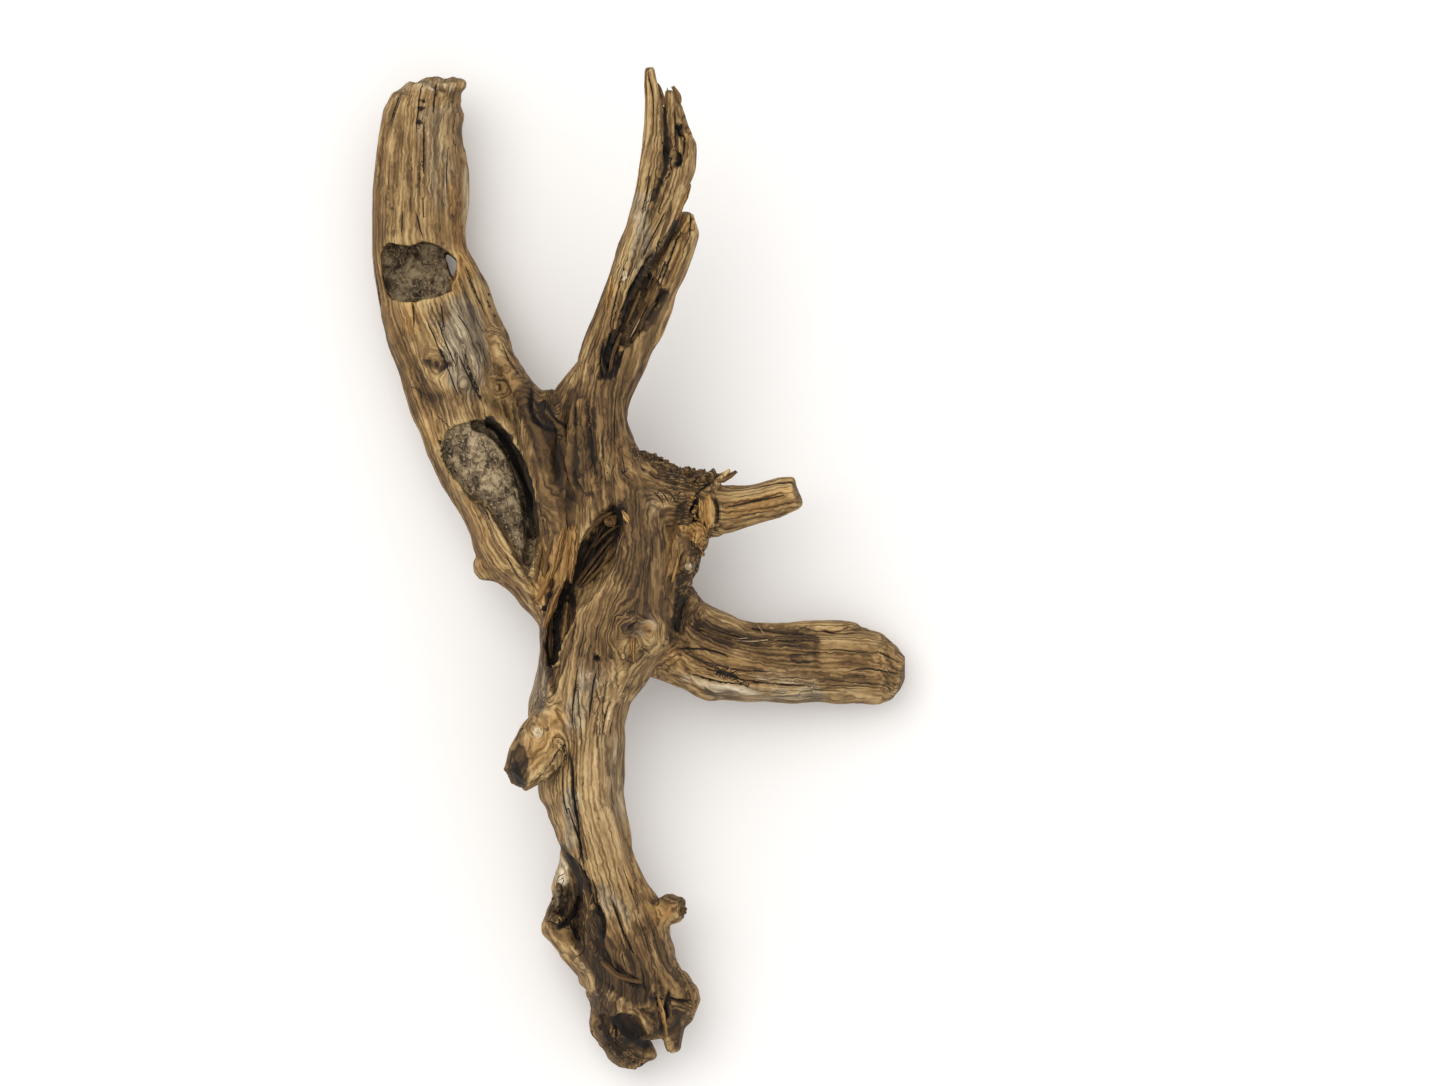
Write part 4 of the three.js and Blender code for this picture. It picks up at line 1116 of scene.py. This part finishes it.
def keep_for_shader(sculptor, rot):
    """Stores what the material reads at each point."""
    surface = sculptor.surface
    normal = surface.normals()
    # How far each place lies below its smoothed surroundings, broadly and closely; the shader paints shade
    # from these, and light where a place stands out.
    sunk = ((surface.soften(surface.place, DEEP_ROUNDS) - surface.place) * normal).sum(axis=1)
    fold = ((surface.soften(surface.place, FOLD_ROUNDS) - surface.place) * normal).sum(axis=1)
    facing = abs((sculptor.normal * sculptor.along).sum(axis=1))
    surface.store("grain", sculptor.grain)
    surface.store("crack", sculptor.crack)
    surface.store("sunk", np.clip(surface.soften(sunk, 2) / 4, -1, 1))
    surface.store("fold", np.clip(fold / 0.6, -1, 1))
    surface.store("rot", rot)
    surface.store("end", smoothstep(0.72, 0.9, facing))
    # How steep each place is, for the painted shade on the flanks.
    surface.store("flank", 1 - smoothstep(0.1, 0.8, sculptor.normal[:, 2]))
    for name, values in sculptor.stains_and_shade.items():
        surface.store(name, values)


def carve_wood(shape):
    """The main piece: the measured solid, made round, carved along its grain and stained."""
    surface = even_surface(shape.mesh_step)
    sculptor = Sculptor(surface, Grain(LIMBS))
    sculptor.turn_knots(KNOTS)
    sculptor.stain_and_shade(STAINS_AND_SHADE)
    rot = rotten_share(sculptor)
    raise_ridges(sculptor, rot, shape.ridge_height)
    for outline, rise, finish, strength in PLATES:
        sculptor.lay_plate(outline, rise, finish, strength)
    for points, half_width, height in FORMS:
        sculptor.raise_form(sculptor.drape(points), half_width, height)
    sculptor.press_pits(PITS)
    for points, half_width, depth in CRACKS:
        sculptor.carve_crack(sculptor.drape(points), half_width, depth * shape.crack_depth)
    sculptor.weather_checks(WEATHER_CHECKS, seed=8)
    apply_carving(sculptor)
    keep_for_shader(sculptor, rot)

    ratio = min(1.0, MOST_TRIANGLES / (2 * len(surface.mesh.polygons)))
    mesh = modified(surface.mesh, "DECIMATE", ratio=ratio)
    drop_bubbles(mesh)
    mesh.name = "weathered_wood"
    mesh.materials.clear()
    mesh.polygons.foreach_set("use_smooth", np.ones(len(mesh.polygons), bool))
    return placed(mesh.name, mesh)


SPLINTER_SIDES = 8
SPLINTER_RINGS = 11
ABOVE = 300.0  # higher than anything
DRAW_SEED = 17


class Heap:
    """Small closed bits of wood laid on the main piece, with what the shader reads for each."""

    def __init__(self, wood):
        self.bm = bmesh.new()
        self.tree = BVHTree.FromObject(wood, bpy.context.evaluated_depsgraph_get())
        self.grain = self.bm.verts.layers.float_vector.new("grain")
        self.crack = self.bm.verts.layers.float_vector.new("crack")
        self.finish = {name: self.bm.verts.layers.float.new(name) for name in STAINS_AND_SHADE}
        self.draw = np.random.default_rng(DRAW_SEED)

    def hit(self, x, y):
        """Where a plumb line meets the wood, if it does."""
        return self.tree.ray_cast(Vector((x, y, ABOVE)) * MM, Vector((0, 0, -1)))[0]

    def top(self, x, y):
        """The top of the wood at a spot, or the nearest wood beside it."""
        found = self.hit(x, y)
        if found is None:
            found = self.tree.find_nearest(Vector((x, y, Sculptor.MID_HEIGHT)) * MM)[0]
        return found / MM

    def heights(self, line):
        """How high the wood is along a line seen from above; past its edge it stays as high as beside it."""
        hits = [self.hit(x, y) for x, y in line]
        known = [i for i, hit in enumerate(hits) if hit]
        if not known:
            return np.array([self.top(x, y).z for x, y in line])
        return np.interp(range(len(line)), known, [hits[i].z / MM for i in known])

    def describe(self, vert, grain, finish):
        """Gives a point its place in the grain, no crack, and its finish if it has one."""
        vert[self.grain] = grain
        vert[self.crack] = Sculptor.NO_CRACK
        if finish:
            vert[self.finish[finish]] = 1.0

    def splinter(self, points, half_width, half_thickness, clearances, finish):
        """A flattened rod that follows a line over the wood, ragged and narrower at its ends."""
        line = smooth_line(points, 1.5)
        heights = rounded(self.heights(line), 6)
        path = np.column_stack([line, heights + np.linspace(*clearances, len(line))])
        tangents = unit(np.gradient(path, axis=0))
        shares = np.linspace(0, 1, len(path))
        length = np.linalg.norm(np.diff(path, axis=0), axis=1).sum()
        shift = self.draw.uniform(0, 100, 3)
        before = len(self.bm.verts)
        made = bmesh.ops.create_cone(
            self.bm, cap_ends=True, segments=SPLINTER_SIDES, radius1=1, radius2=1, depth=1)["verts"]
        sides = {edge for vert in made for edge in vert.link_edges
                 if abs(edge.verts[0].co.z - edge.verts[1].co.z) > 0.5}
        bmesh.ops.subdivide_edges(self.bm, edges=list(sides), cuts=SPLINTER_RINGS)
        for vert in list(self.bm.verts)[before:]:
            across, up, t = vert.co.x, vert.co.y, vert.co.z + 0.5
            middle, tangent = (np.array([np.interp(t, shares, column) for column in rows.T])
                               for rows in (path, tangents))
            side = np.cross(tangent, (0, 0, 1))
            lift = np.cross(side, tangent)
            spot = np.array([[4 * across + shift[0], 4 * up, t * length / 3]])
            ragged = noise(spot, seed=14, octaves=2)[0]
            taper = math.sin(math.pi * (0.1 + 0.8 * t)) ** 0.5 * (1 + 0.3 * ragged)
            place = middle + taper * (side * across * half_width + lift * up * half_thickness)
            place += tangent * ragged * half_width * 2 * (2 * t - 1) ** 8
            vert.co = Vector(place) * MM
            grain = (across * half_width + shift[0], up * half_thickness + shift[1], t * length + shift[2])
            self.describe(vert, grain, finish)

    def crumb(self, x, y, radius, finish):
        """A rough lump of bark."""
        shape = self.draw.uniform(0.55, 1.25, 3) * radius
        turn = self.draw.uniform(0, math.tau)
        shift = self.draw.uniform(0, 100, 3)
        base = self.top(x, y) + Vector((0, 0, 0.3 * radius))
        for vert in bmesh.ops.create_icosphere(self.bm, subdivisions=2, radius=1)["verts"]:
            rough = 1 + 0.5 * noise(np.array([np.array(vert.co) * 1.6 + shift]), seed=15, octaves=2)[0]
            place = Vector([part * size * rough for part, size in zip(vert.co, shape)])
            place.rotate(Euler((0, 0, turn)))
            self.describe(vert, tuple(place + Vector(shift)), finish)
            vert.co = (base + place) * MM

    def piece(self, name):
        """Makes the object."""
        bmesh.ops.recalc_face_normals(self.bm, faces=self.bm.faces)
        mesh = bpy.data.meshes.new(name)
        self.bm.to_mesh(mesh)
        self.bm.free()
        return placed(name, mesh)


def splintered_bits(wood):
    """The torn strips, the lifted fibres and the crumbs of bark."""
    heap = Heap(wood)
    for points, half_width, half_thickness, clearances, finish in SPLINTERS:
        heap.splinter(points, half_width, half_thickness, clearances, finish)
    for points, half_thickness, clearances in FIBRES:
        heap.splinter(points, half_thickness, half_thickness, clearances, "pale")
    for points, count, spread, radius, finish in CRUMBS:
        line = smooth_line(points)
        for _ in range(count):
            x, y = line[heap.draw.integers(len(line))] + heap.draw.normal(0, spread / 2, 2)
            heap.crumb(x, y, radius * heap.draw.uniform(0.5, 1.15), finish)
    return heap.piece("torn_splinters")


class Paint:
    """Lays out the shader nodes of one material."""

    def __init__(self, name):
        self.material = bpy.data.materials.new(name)
        self.material.use_nodes = True
        self.tree = self.material.node_tree
        self.tree.nodes.clear()

    def add(self, kind, inputs, **settings):
        node = self.tree.nodes.new("ShaderNode" + kind)
        for key, value in settings.items():
            setattr(node, key, value)
        for key, value in inputs.items():
            if isinstance(value, bpy.types.NodeSocket):
                self.tree.links.new(value, node.inputs[key])
            else:
                node.inputs[key].default_value = value
        return node

    def math(self, operation, first, second=0.0, third=0.0):
        return self.add("Math", {0: first, 1: second, 2: third}, operation=operation).outputs[0]

    def times(self, first, second, plus=0.0):
        """One number times another, and a third added."""
        return self.math("MULTIPLY_ADD", first, second, plus)

    def rest(self, share):
        """What a share leaves of one."""
        return self.math("SUBTRACT", 1.0, share)

    def from_middle(self, pattern):
        """How far a noise lies from its middle value, 0.5."""
        return self.math("ABSOLUTE", self.math("SUBTRACT", pattern, 0.5))

    def scaled(self, vector, sizes):
        """A vector divided by the size of a pattern in each direction."""
        node = self.add("VectorMath", {0: vector, 1: sizes}, operation="DIVIDE")
        return node.outputs[0]

    def noise(self, vector, detail, roughness, distortion=0.0):
        inputs = {"Vector": vector, "Scale": 1.0, "Detail": detail, "Roughness": roughness,
                  "Distortion": distortion}
        return self.add("TexNoise", inputs).outputs[0]

    def step(self, low, high, value):
        """From 0 below the low value to 1 above the high one."""
        inputs = {0: value, 1: low, 2: high, 3: 0.0, 4: 1.0}
        return self.add("MapRange", inputs, interpolation_type="SMOOTHSTEP").outputs[0]

    def ramp(self, value, stops):
        node = self.add("ValToRGB", {0: value})
        while len(node.color_ramp.elements) < len(stops):
            node.color_ramp.elements.new(0.5)
        for element, (position, colour) in zip(node.color_ramp.elements, stops):
            element.position = position
            element.color = (*colour, 1.0)
        return node.outputs[0]

    def blend(self, share, first, second):
        """The first colour, with a share of the second over it."""
        node = self.add("Mix", {}, data_type="RGBA", blend_type="MIX", clamp_factor=True)
        for index, value in ((0, share), (6, first), (7, second)):
            if isinstance(value, bpy.types.NodeSocket):
                self.tree.links.new(value, node.inputs[index])
            else:
                node.inputs[index].default_value = value if index == 0 else (*value, 1.0)
        return node.outputs[2]

    def attribute(self, name, output="Fac"):
        return self.add("Attribute", {}, attribute_name=name).outputs[output]


# Patterns that follow the grain: a swell's size across, up and along it, and the noise's detail and
# roughness.
GRAIN_PATTERNS = {
    "broad": ((9, 9, 80), 2, 0.5),
    "swell": ((9, 9, 80), 1, 0.5),
    "streak": ((2.1, 2.1, 70), 2, 0.5),
    "thread": ((0.8, 0.8, 30), 1, 0.5),
    "worn": ((4, 4, 36), 2, 0.5),
    "patches": ((3.2, 3.2, 30), 4, 0.6),
    "hairlines": ((3.2, 3.2, 56), 1, 0.5),
    "hairline_places": ((10, 10, 20), 2, 0.5),
}
# Patterns that take no notice of the grain: a swell's size, and the noise's detail, roughness and
# distortion.
LUMP_PATTERNS = {
    "blotch": (14, 3, 0.6, 0.0),
    "speck": (3.2, 1, 0.5, 1.0),
    "mould": (10, 2, 0.5, 0.0),
}
WAVE_SIZE = 22
WAVE_REACH = (2.0, 2.0, 5.0)  # how far the grain sways across, up and along
CRUST_SIZE = (1.9, 1.9, 3.2)  # of the bark's crumbs
TONE_STOPS = (0.22, 0.5, 0.78)  # where a finish's dark, middle and light colours lie

# How much each layer lightens the wood, and how much it stands out.
# The sunk and fold layers paint shade in hollows and folds, and light on ridges.
TONE_SHARES = {
    "streak": 0.8, "thread": 0.4, "broad": 0.45, "blotch": 0.45, "ring": 0.3, "sunk": -0.3, "fold": -0.16}
TONE_START = -0.62
BUMP_SHARES = {
    "streak": 0.5, "thread": 0.35, "ring": 0.3, "groove": -0.35, "check": -0.4, "split": -0.6, "crumbs": 0.5,
    "worms": 0.25}
BUMP_HEIGHT = 1.3


class WoodPaint(Paint):
    """Weathered wood: streaks, worn rings and hairline cracks along the grain, over stained patches and
    painted shade.
    """

    def __init__(self, tones):
        super().__init__("weathered_wood")
        self.tones = tones
        spot = self.scaled(self.add("TexCoord", {}).outputs["Object"], (MM, MM, MM))
        fibre = self.swaying_grain(spot)
        self.layer = {name: self.attribute(name) for name in ("sunk", "fold", "bark")}
        for name, (size, detail, roughness) in GRAIN_PATTERNS.items():
            self.layer[name] = self.noise(self.scaled(fibre, size), detail, roughness)
        for name, (size, *settings) in LUMP_PATTERNS.items():
            self.layer[name] = self.noise(self.scaled(spot, (size, size, size)), *settings)
        self.layer["ring"] = self.rings(fibre)
        self.tone = self.weighed(TONE_SHARES, TONE_START)

        colour = self.finish("tan")
        colour = self.lay_stains_and_shade(colour)
        colour = self.lay_bark(colour, fibre)
        colour, sound = self.lay_rot(colour)
        colour = self.lay_grooves(colour, sound)
        colour = self.lay_shade(colour)
        colour = self.lay_cracks(colour)

        height = self.weighed(BUMP_SHARES)
        bump = self.add("Bump", {"Height": height, "Distance": BUMP_HEIGHT * MM, "Strength": 1.0}).outputs[0]
        roughness = self.times(self.layer["thread"], 0.25, 0.62)
        shader = self.add("BsdfPrincipled", {"Base Color": colour, "Roughness": roughness, "Normal": bump})
        shader.inputs["Specular IOR Level"].default_value = 0.3
        self.add("OutputMaterial", {"Surface": shader.outputs[0]})

    def weighed(self, shares, start=0.0):
        """The sum of some layers, each times its share."""
        total = start
        for name, share in shares.items():
            total = self.times(self.layer[name], share, total)
        return total

    def finish(self, name, tone=None):
        """A finish's colour for each tone, from dark to light."""
        return self.ramp(tone or self.tone, list(zip(TONE_STOPS, self.tones[name])))

    def swaying_grain(self, spot):
        """The place across, up and along the grain, which sways a little."""
        spot = self.scaled(spot, (WAVE_SIZE, WAVE_SIZE, WAVE_SIZE))
        wave = self.add("TexNoise", {"Vector": spot, "Detail": 1.0}).outputs["Color"]
        wave = self.add("VectorMath", {0: wave, 1: (0.5, 0.5, 0.5)}, operation="SUBTRACT").outputs[0]
        wave = self.add("VectorMath", {0: wave, 1: WAVE_REACH}, operation="MULTIPLY").outputs[0]
        grain = self.attribute("grain", "Vector")
        return self.add("VectorMath", {0: grain, 1: wave}, operation="ADD").outputs[0]

    def rings(self, fibre):
        """The year rings, 0 at each ring's edge and 0.5 half way between two."""
        across, up, _ = self.add("SeparateXYZ", {0: fibre}).outputs
        phase = self.times(self.layer["swell"], 4.5, self.times(across, 0.4))
        return self.math("PINGPONG", self.times(up, 0.14, phase), 0.5)

    def ragged(self, strength, reach):
        """The strength of a patch of finish or of painted shade, made uneven by the patches along the grain.
        """
        return self.times(self.math("SUBTRACT", self.layer["patches"], 0.5), reach, strength)

    def lay_stains_and_shade(self, colour):
        # The dark finish holds dark wood and painted shade along cracks and creases.
        for name in ("grey", "gold", "umber", "dark", "pale"):
            strength = self.attribute(name)
            patch = self.step(0.35, 0.65, self.ragged(strength, 2.2))
            patch = self.times(patch, self.step(0.0, 0.25, strength))
            mask = self.times(patch, 0.6, self.times(strength, 0.4))
            colour = self.blend(mask, colour, self.finish(name))
        # Painted shade: the steep flanks are painted darker, towards umber.
        flank = self.times(self.attribute("flank"), 0.5)
        return self.blend(flank, colour, self.finish("umber"))

    def lay_bark(self, colour, fibre):
        crust = self.add("TexVoronoi", {"Vector": self.scaled(fibre, CRUST_SIZE), "Scale": 1.0},
                         feature="DISTANCE_TO_EDGE").outputs["Distance"]
        crust = self.step(0.02, 0.22, crust)
        self.layer["crumbs"] = self.times(crust, self.layer["bark"])
        crumble = self.finish("umber", self.times(crust, 0.35, self.math("SUBTRACT", self.tone, 0.25)))
        crumble = self.blend(crust, self.tones["dark"][0], crumble)
        return self.blend(self.times(self.step(0.2, 0.8, self.layer["bark"]), 0.8), colour, crumble)

    def lay_rot(self, colour):
        """Mottled rot with pale worm lines; also gives how sound the wood is."""
        speck, mould = self.layer["speck"], self.layer["mould"]
        worm = self.rest(self.step(0.014, 0.046, self.from_middle(speck)))
        worm = self.times(worm, self.step(0.2, 0.5, mould))
        cloud = self.times(mould, 1.5, self.times(speck, 0.8, -0.68))
        # Painted shade: the rot is darker where it lies sunk.
        cloud = self.times(self.layer["sunk"], -0.2, cloud)
        decay = self.finish("rot", cloud)
        decay = self.blend(self.times(worm, 0.85), decay, self.tones["rot"][2])
        rot = self.times(self.attribute("rot"), self.times(self.attribute("dark"), -0.9, 1.0))
        self.layer["worms"] = self.times(worm, rot)
        return self.blend(self.step(0.2, 0.8, rot), colour, decay), self.rest(rot)

    def lay_grooves(self, colour, sound):
        """The worn edges of the rings, and hairline checks."""
        check = self.rest(self.step(0.004, 0.022, self.from_middle(self.layer["hairlines"])))
        check = self.times(check, self.step(0.5, 0.64, self.layer["hairline_places"]))
        check = self.times(check, sound)
        groove = self.rest(self.step(0.02, 0.2, self.layer["ring"]))
        groove = self.times(groove, self.step(0.36, 0.62, self.layer["worn"]))
        groove = self.times(self.times(groove, sound), self.times(self.attribute("calm"), -0.75, 1.0))
        self.layer["check"] = check
        self.layer["groove"] = groove
        colour = self.blend(self.times(groove, 0.5), colour, self.tones["dark"][1])
        # Painted shade: the hairline checks are painted nearly black.
        return self.blend(self.times(check, 0.7), colour, self.tones["dark"][0])

    def lay_shade(self, colour):
        """Painted shade in what lies sunk and in the gaps, which are painted near black; cut ends are
        darker.
        """
        # Painted shade where the surface lies sunk.
        deep = self.times(self.step(0.3, 0.95, self.layer["sunk"]), 0.75)
        colour = self.blend(deep, colour, self.tones["dark"][0])
        colour = self.blend(self.times(self.attribute("end"), 0.4), colour, self.tones["dark"][1])
        # Painted shade, near black, in the deepest gaps.
        gap_shade = self.attribute("gap_shade")
        gap = self.times(self.step(0.3, 0.6, self.ragged(gap_shade, 1.6)), self.step(0.0, 0.3, gap_shade))
        return self.blend(self.times(gap, 0.85), colour, GAP_SHADE_COLOUR)

    def lay_cracks(self, colour):
        sideways, past, _ = self.add("SeparateXYZ", {0: self.attribute("crack", "Vector")}).outputs
        uneven = self.math("SUBTRACT", self.layer["thread"], 0.5)
        edge = self.times(uneven, 0.8, self.math("ABSOLUTE", sideways))
        split = self.rest(self.step(0.35, 1.0, edge))
        split = self.times(split, self.rest(self.step(1.2, 2.4, past)))
        self.layer["split"] = split
        # Painted shade: each crack is painted dark along its middle.
        return self.blend(split, colour, self.tones["dark"][0])


# The near black of the painted shade in the gaps.
GAP_SHADE_COLOUR = linear(9, 7, 5)  # in the gaps
TONES = {
    "tan": (linear(74, 55, 32), linear(141, 111, 69), linear(194, 165, 115)),
    "gold": (linear(82, 56, 25), linear(147, 108, 57), linear(198, 160, 102)),
    "grey": (linear(62, 53, 42), linear(120, 106, 85), linear(178, 164, 138)),
    "umber": (linear(44, 30, 15), linear(94, 69, 38), linear(146, 114, 70)),
    "dark": (linear(15, 10, 5), linear(46, 31, 16), linear(86, 63, 34)),
    "pale": (linear(130, 106, 74), linear(190, 168, 132), linear(228, 214, 188)),
    "rot": (linear(48, 38, 27), linear(106, 88, 64), linear(176, 156, 122)),
}


class WoodShape(bpy.types.PropertyGroup):
    """How finely and how deeply the wood is carved."""

    mesh_step: FloatProperty(
        name="Mesh step", description="Distance between the surface's points",
        default=1.32 * MM, min=0.8 * MM, subtype="DISTANCE", unit="LENGTH", precision=5)
    ridge_height: FloatProperty(
        name="Ridge height", description="How far the ridges along the grain stand out",
        default=0.9 * MM, min=0, subtype="DISTANCE", unit="LENGTH", precision=5)
    crack_depth: FloatProperty(
        name="Crack depth", description="Depth of the cracks compared with their measured depth",
        default=1.0, min=0, subtype="FACTOR")


class StageSettings(bpy.types.PropertyGroup):
    """The floor, the light and the camera."""

    floor_colour: FloatVectorProperty(
        name="Floor colour", description="Colour of the plain floor", size=3, subtype="COLOR",
        default=(0.92, 0.91, 0.9))
    sky_strength: FloatProperty(
        name="Sky strength", description="Strength of the even light from all round", default=1.0, min=0)
    lamp_power: FloatProperty(
        name="Lamp power", description="Power of the soft lamp", default=28, min=0, unit="POWER")
    camera_height: FloatProperty(
        name="Camera height", description="Height of the camera above the ground", default=8.0, min=1,
        subtype="DISTANCE", unit="LENGTH")


class DRIFTWOOD_OT_wood(bpy.types.Operator):
    """Carve the weathered wood out of its measured solid."""

    bl_idname = "driftwood.wood"
    bl_label = "Weathered wood"

    def execute(self, context):
        piece = carve_wood(context.scene.wood_shape)
        if not piece.data.polygons:
            raise RuntimeError("the wood has no surface")
        piece.data.materials.append(WoodPaint(TONES).material)
        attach(piece, BODY)
        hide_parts(NODE)
        return {"FINISHED"}


class DRIFTWOOD_OT_splinters(bpy.types.Operator):
    """Lay the torn strips, lifted fibres and crumbs of bark on the wood."""

    bl_idname = "driftwood.splinters"
    bl_label = "Splinters and crumbs"

    def execute(self, context):
        wood = bpy.data.objects["weathered_wood"]
        piece = splintered_bits(wood)
        piece.data.materials.append(wood.data.materials[0])
        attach(piece, BODY)
        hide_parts(NODE)
        return {"FINISHED"}


CAMERA_TARGET = Vector((45.5, 14.6, 57)) * MM  # the middle of the picture
VIEW_WIDTH = 770.8 * MM
SENSOR_WIDTH = 36.0
FAR = 100.0  # metres, past which the camera sees nothing
FLOOR_REACH = 15.0
FLOOR_DROP = 0.1  # below the ground, so that the floor doesn't cut the wood's flats
SKY_COLOUR = (1.0, 0.99, 0.98, 1)
LAMP_PLACE = Vector((-0.9, 1.0, 2.6))
LAMP_WIDTH = 2.5
LAMP_COLOUR = (1.0, 0.985, 0.96)


class DRIFTWOOD_OT_stage(bpy.types.Operator):
    """Lay the floor and set the light and the camera."""

    bl_idname = "driftwood.stage"
    bl_label = "Floor, light and camera"

    def execute(self, context):
        settings = context.scene.stage_settings
        mesh = bpy.data.meshes.new("floor")
        bm = bmesh.new()
        bmesh.ops.create_grid(bm, x_segments=1, y_segments=1, size=FLOOR_REACH)
        bmesh.ops.translate(bm, verts=bm.verts, vec=(0, 0, -FLOOR_DROP * MM))
        bm.to_mesh(mesh)
        bm.free()
        floor = placed("floor", mesh)
        paint = Paint("floor")
        shader = paint.add("BsdfPrincipled", {"Base Color": (*settings.floor_colour, 1), "Roughness": 1.0})
        shader.inputs["Specular IOR Level"].default_value = 0.0
        paint.add("OutputMaterial", {"Surface": shader.outputs[0]})
        mesh.materials.append(paint.material)

        world = bpy.data.worlds.new("sky")
        world.use_nodes = True
        background = world.node_tree.nodes["Background"]
        background.inputs[0].default_value = SKY_COLOUR
        background.inputs[1].default_value = settings.sky_strength
        context.scene.world = world

        lamp = bpy.data.lights.new("soft_lamp", "AREA")
        lamp.shape = "DISK"
        lamp.size = LAMP_WIDTH
        lamp.energy = settings.lamp_power
        lamp.color = LAMP_COLOUR
        holder = placed("soft_lamp", lamp)
        holder.location = LAMP_PLACE
        holder.rotation_euler = (-LAMP_PLACE).to_track_quat("-Z", "Y").to_euler()

        camera = bpy.data.cameras.new("camera")
        camera.sensor_width = SENSOR_WIDTH
        distance = settings.camera_height - CAMERA_TARGET.z
        camera.lens = SENSOR_WIDTH * distance / VIEW_WIDTH
        camera.clip_end = FAR
        viewer = placed("camera", camera)
        viewer.location = (CAMERA_TARGET.x, CAMERA_TARGET.y, settings.camera_height)
        context.scene.camera = viewer
        context.scene.view_settings.view_transform = "Standard"
        return {"FINISHED"}


class DRIFTWOOD_PT_panel(bpy.types.Panel):
    """Lists the sizes and colours, and a button for each step."""

    bl_idname = "DRIFTWOOD_PT_panel"
    bl_label = "Driftwood"
    bl_space_type = "VIEW_3D"
    bl_region_type = "UI"
    bl_category = "Driftwood"

    def draw(self, context):
        layout = self.layout
        for group in (context.scene.wood_shape, context.scene.stage_settings):
            for name in group.__annotations__:
                layout.prop(group, name)
        for operator in OPERATORS:
            layout.operator(operator.bl_idname)


OPERATORS = (DRIFTWOOD_OT_wood, DRIFTWOOD_OT_splinters, DRIFTWOOD_OT_stage)
CLASSES = (WoodShape, StageSettings, *OPERATORS, DRIFTWOOD_PT_panel)


def register():
    for cls in CLASSES:
        bpy.utils.register_class(cls)
    bpy.types.Scene.wood_shape = PointerProperty(type=WoodShape)
    bpy.types.Scene.stage_settings = PointerProperty(type=StageSettings)


def unregister():
    del bpy.types.Scene.stage_settings
    del bpy.types.Scene.wood_shape
    for cls in reversed(CLASSES):
        bpy.utils.unregister_class(cls)


def main():
    register()
    bpy.ops.driftwood.wood()
    bpy.ops.driftwood.splinters()
    bpy.ops.driftwood.stage()


if __name__ == "__main__":
    main()
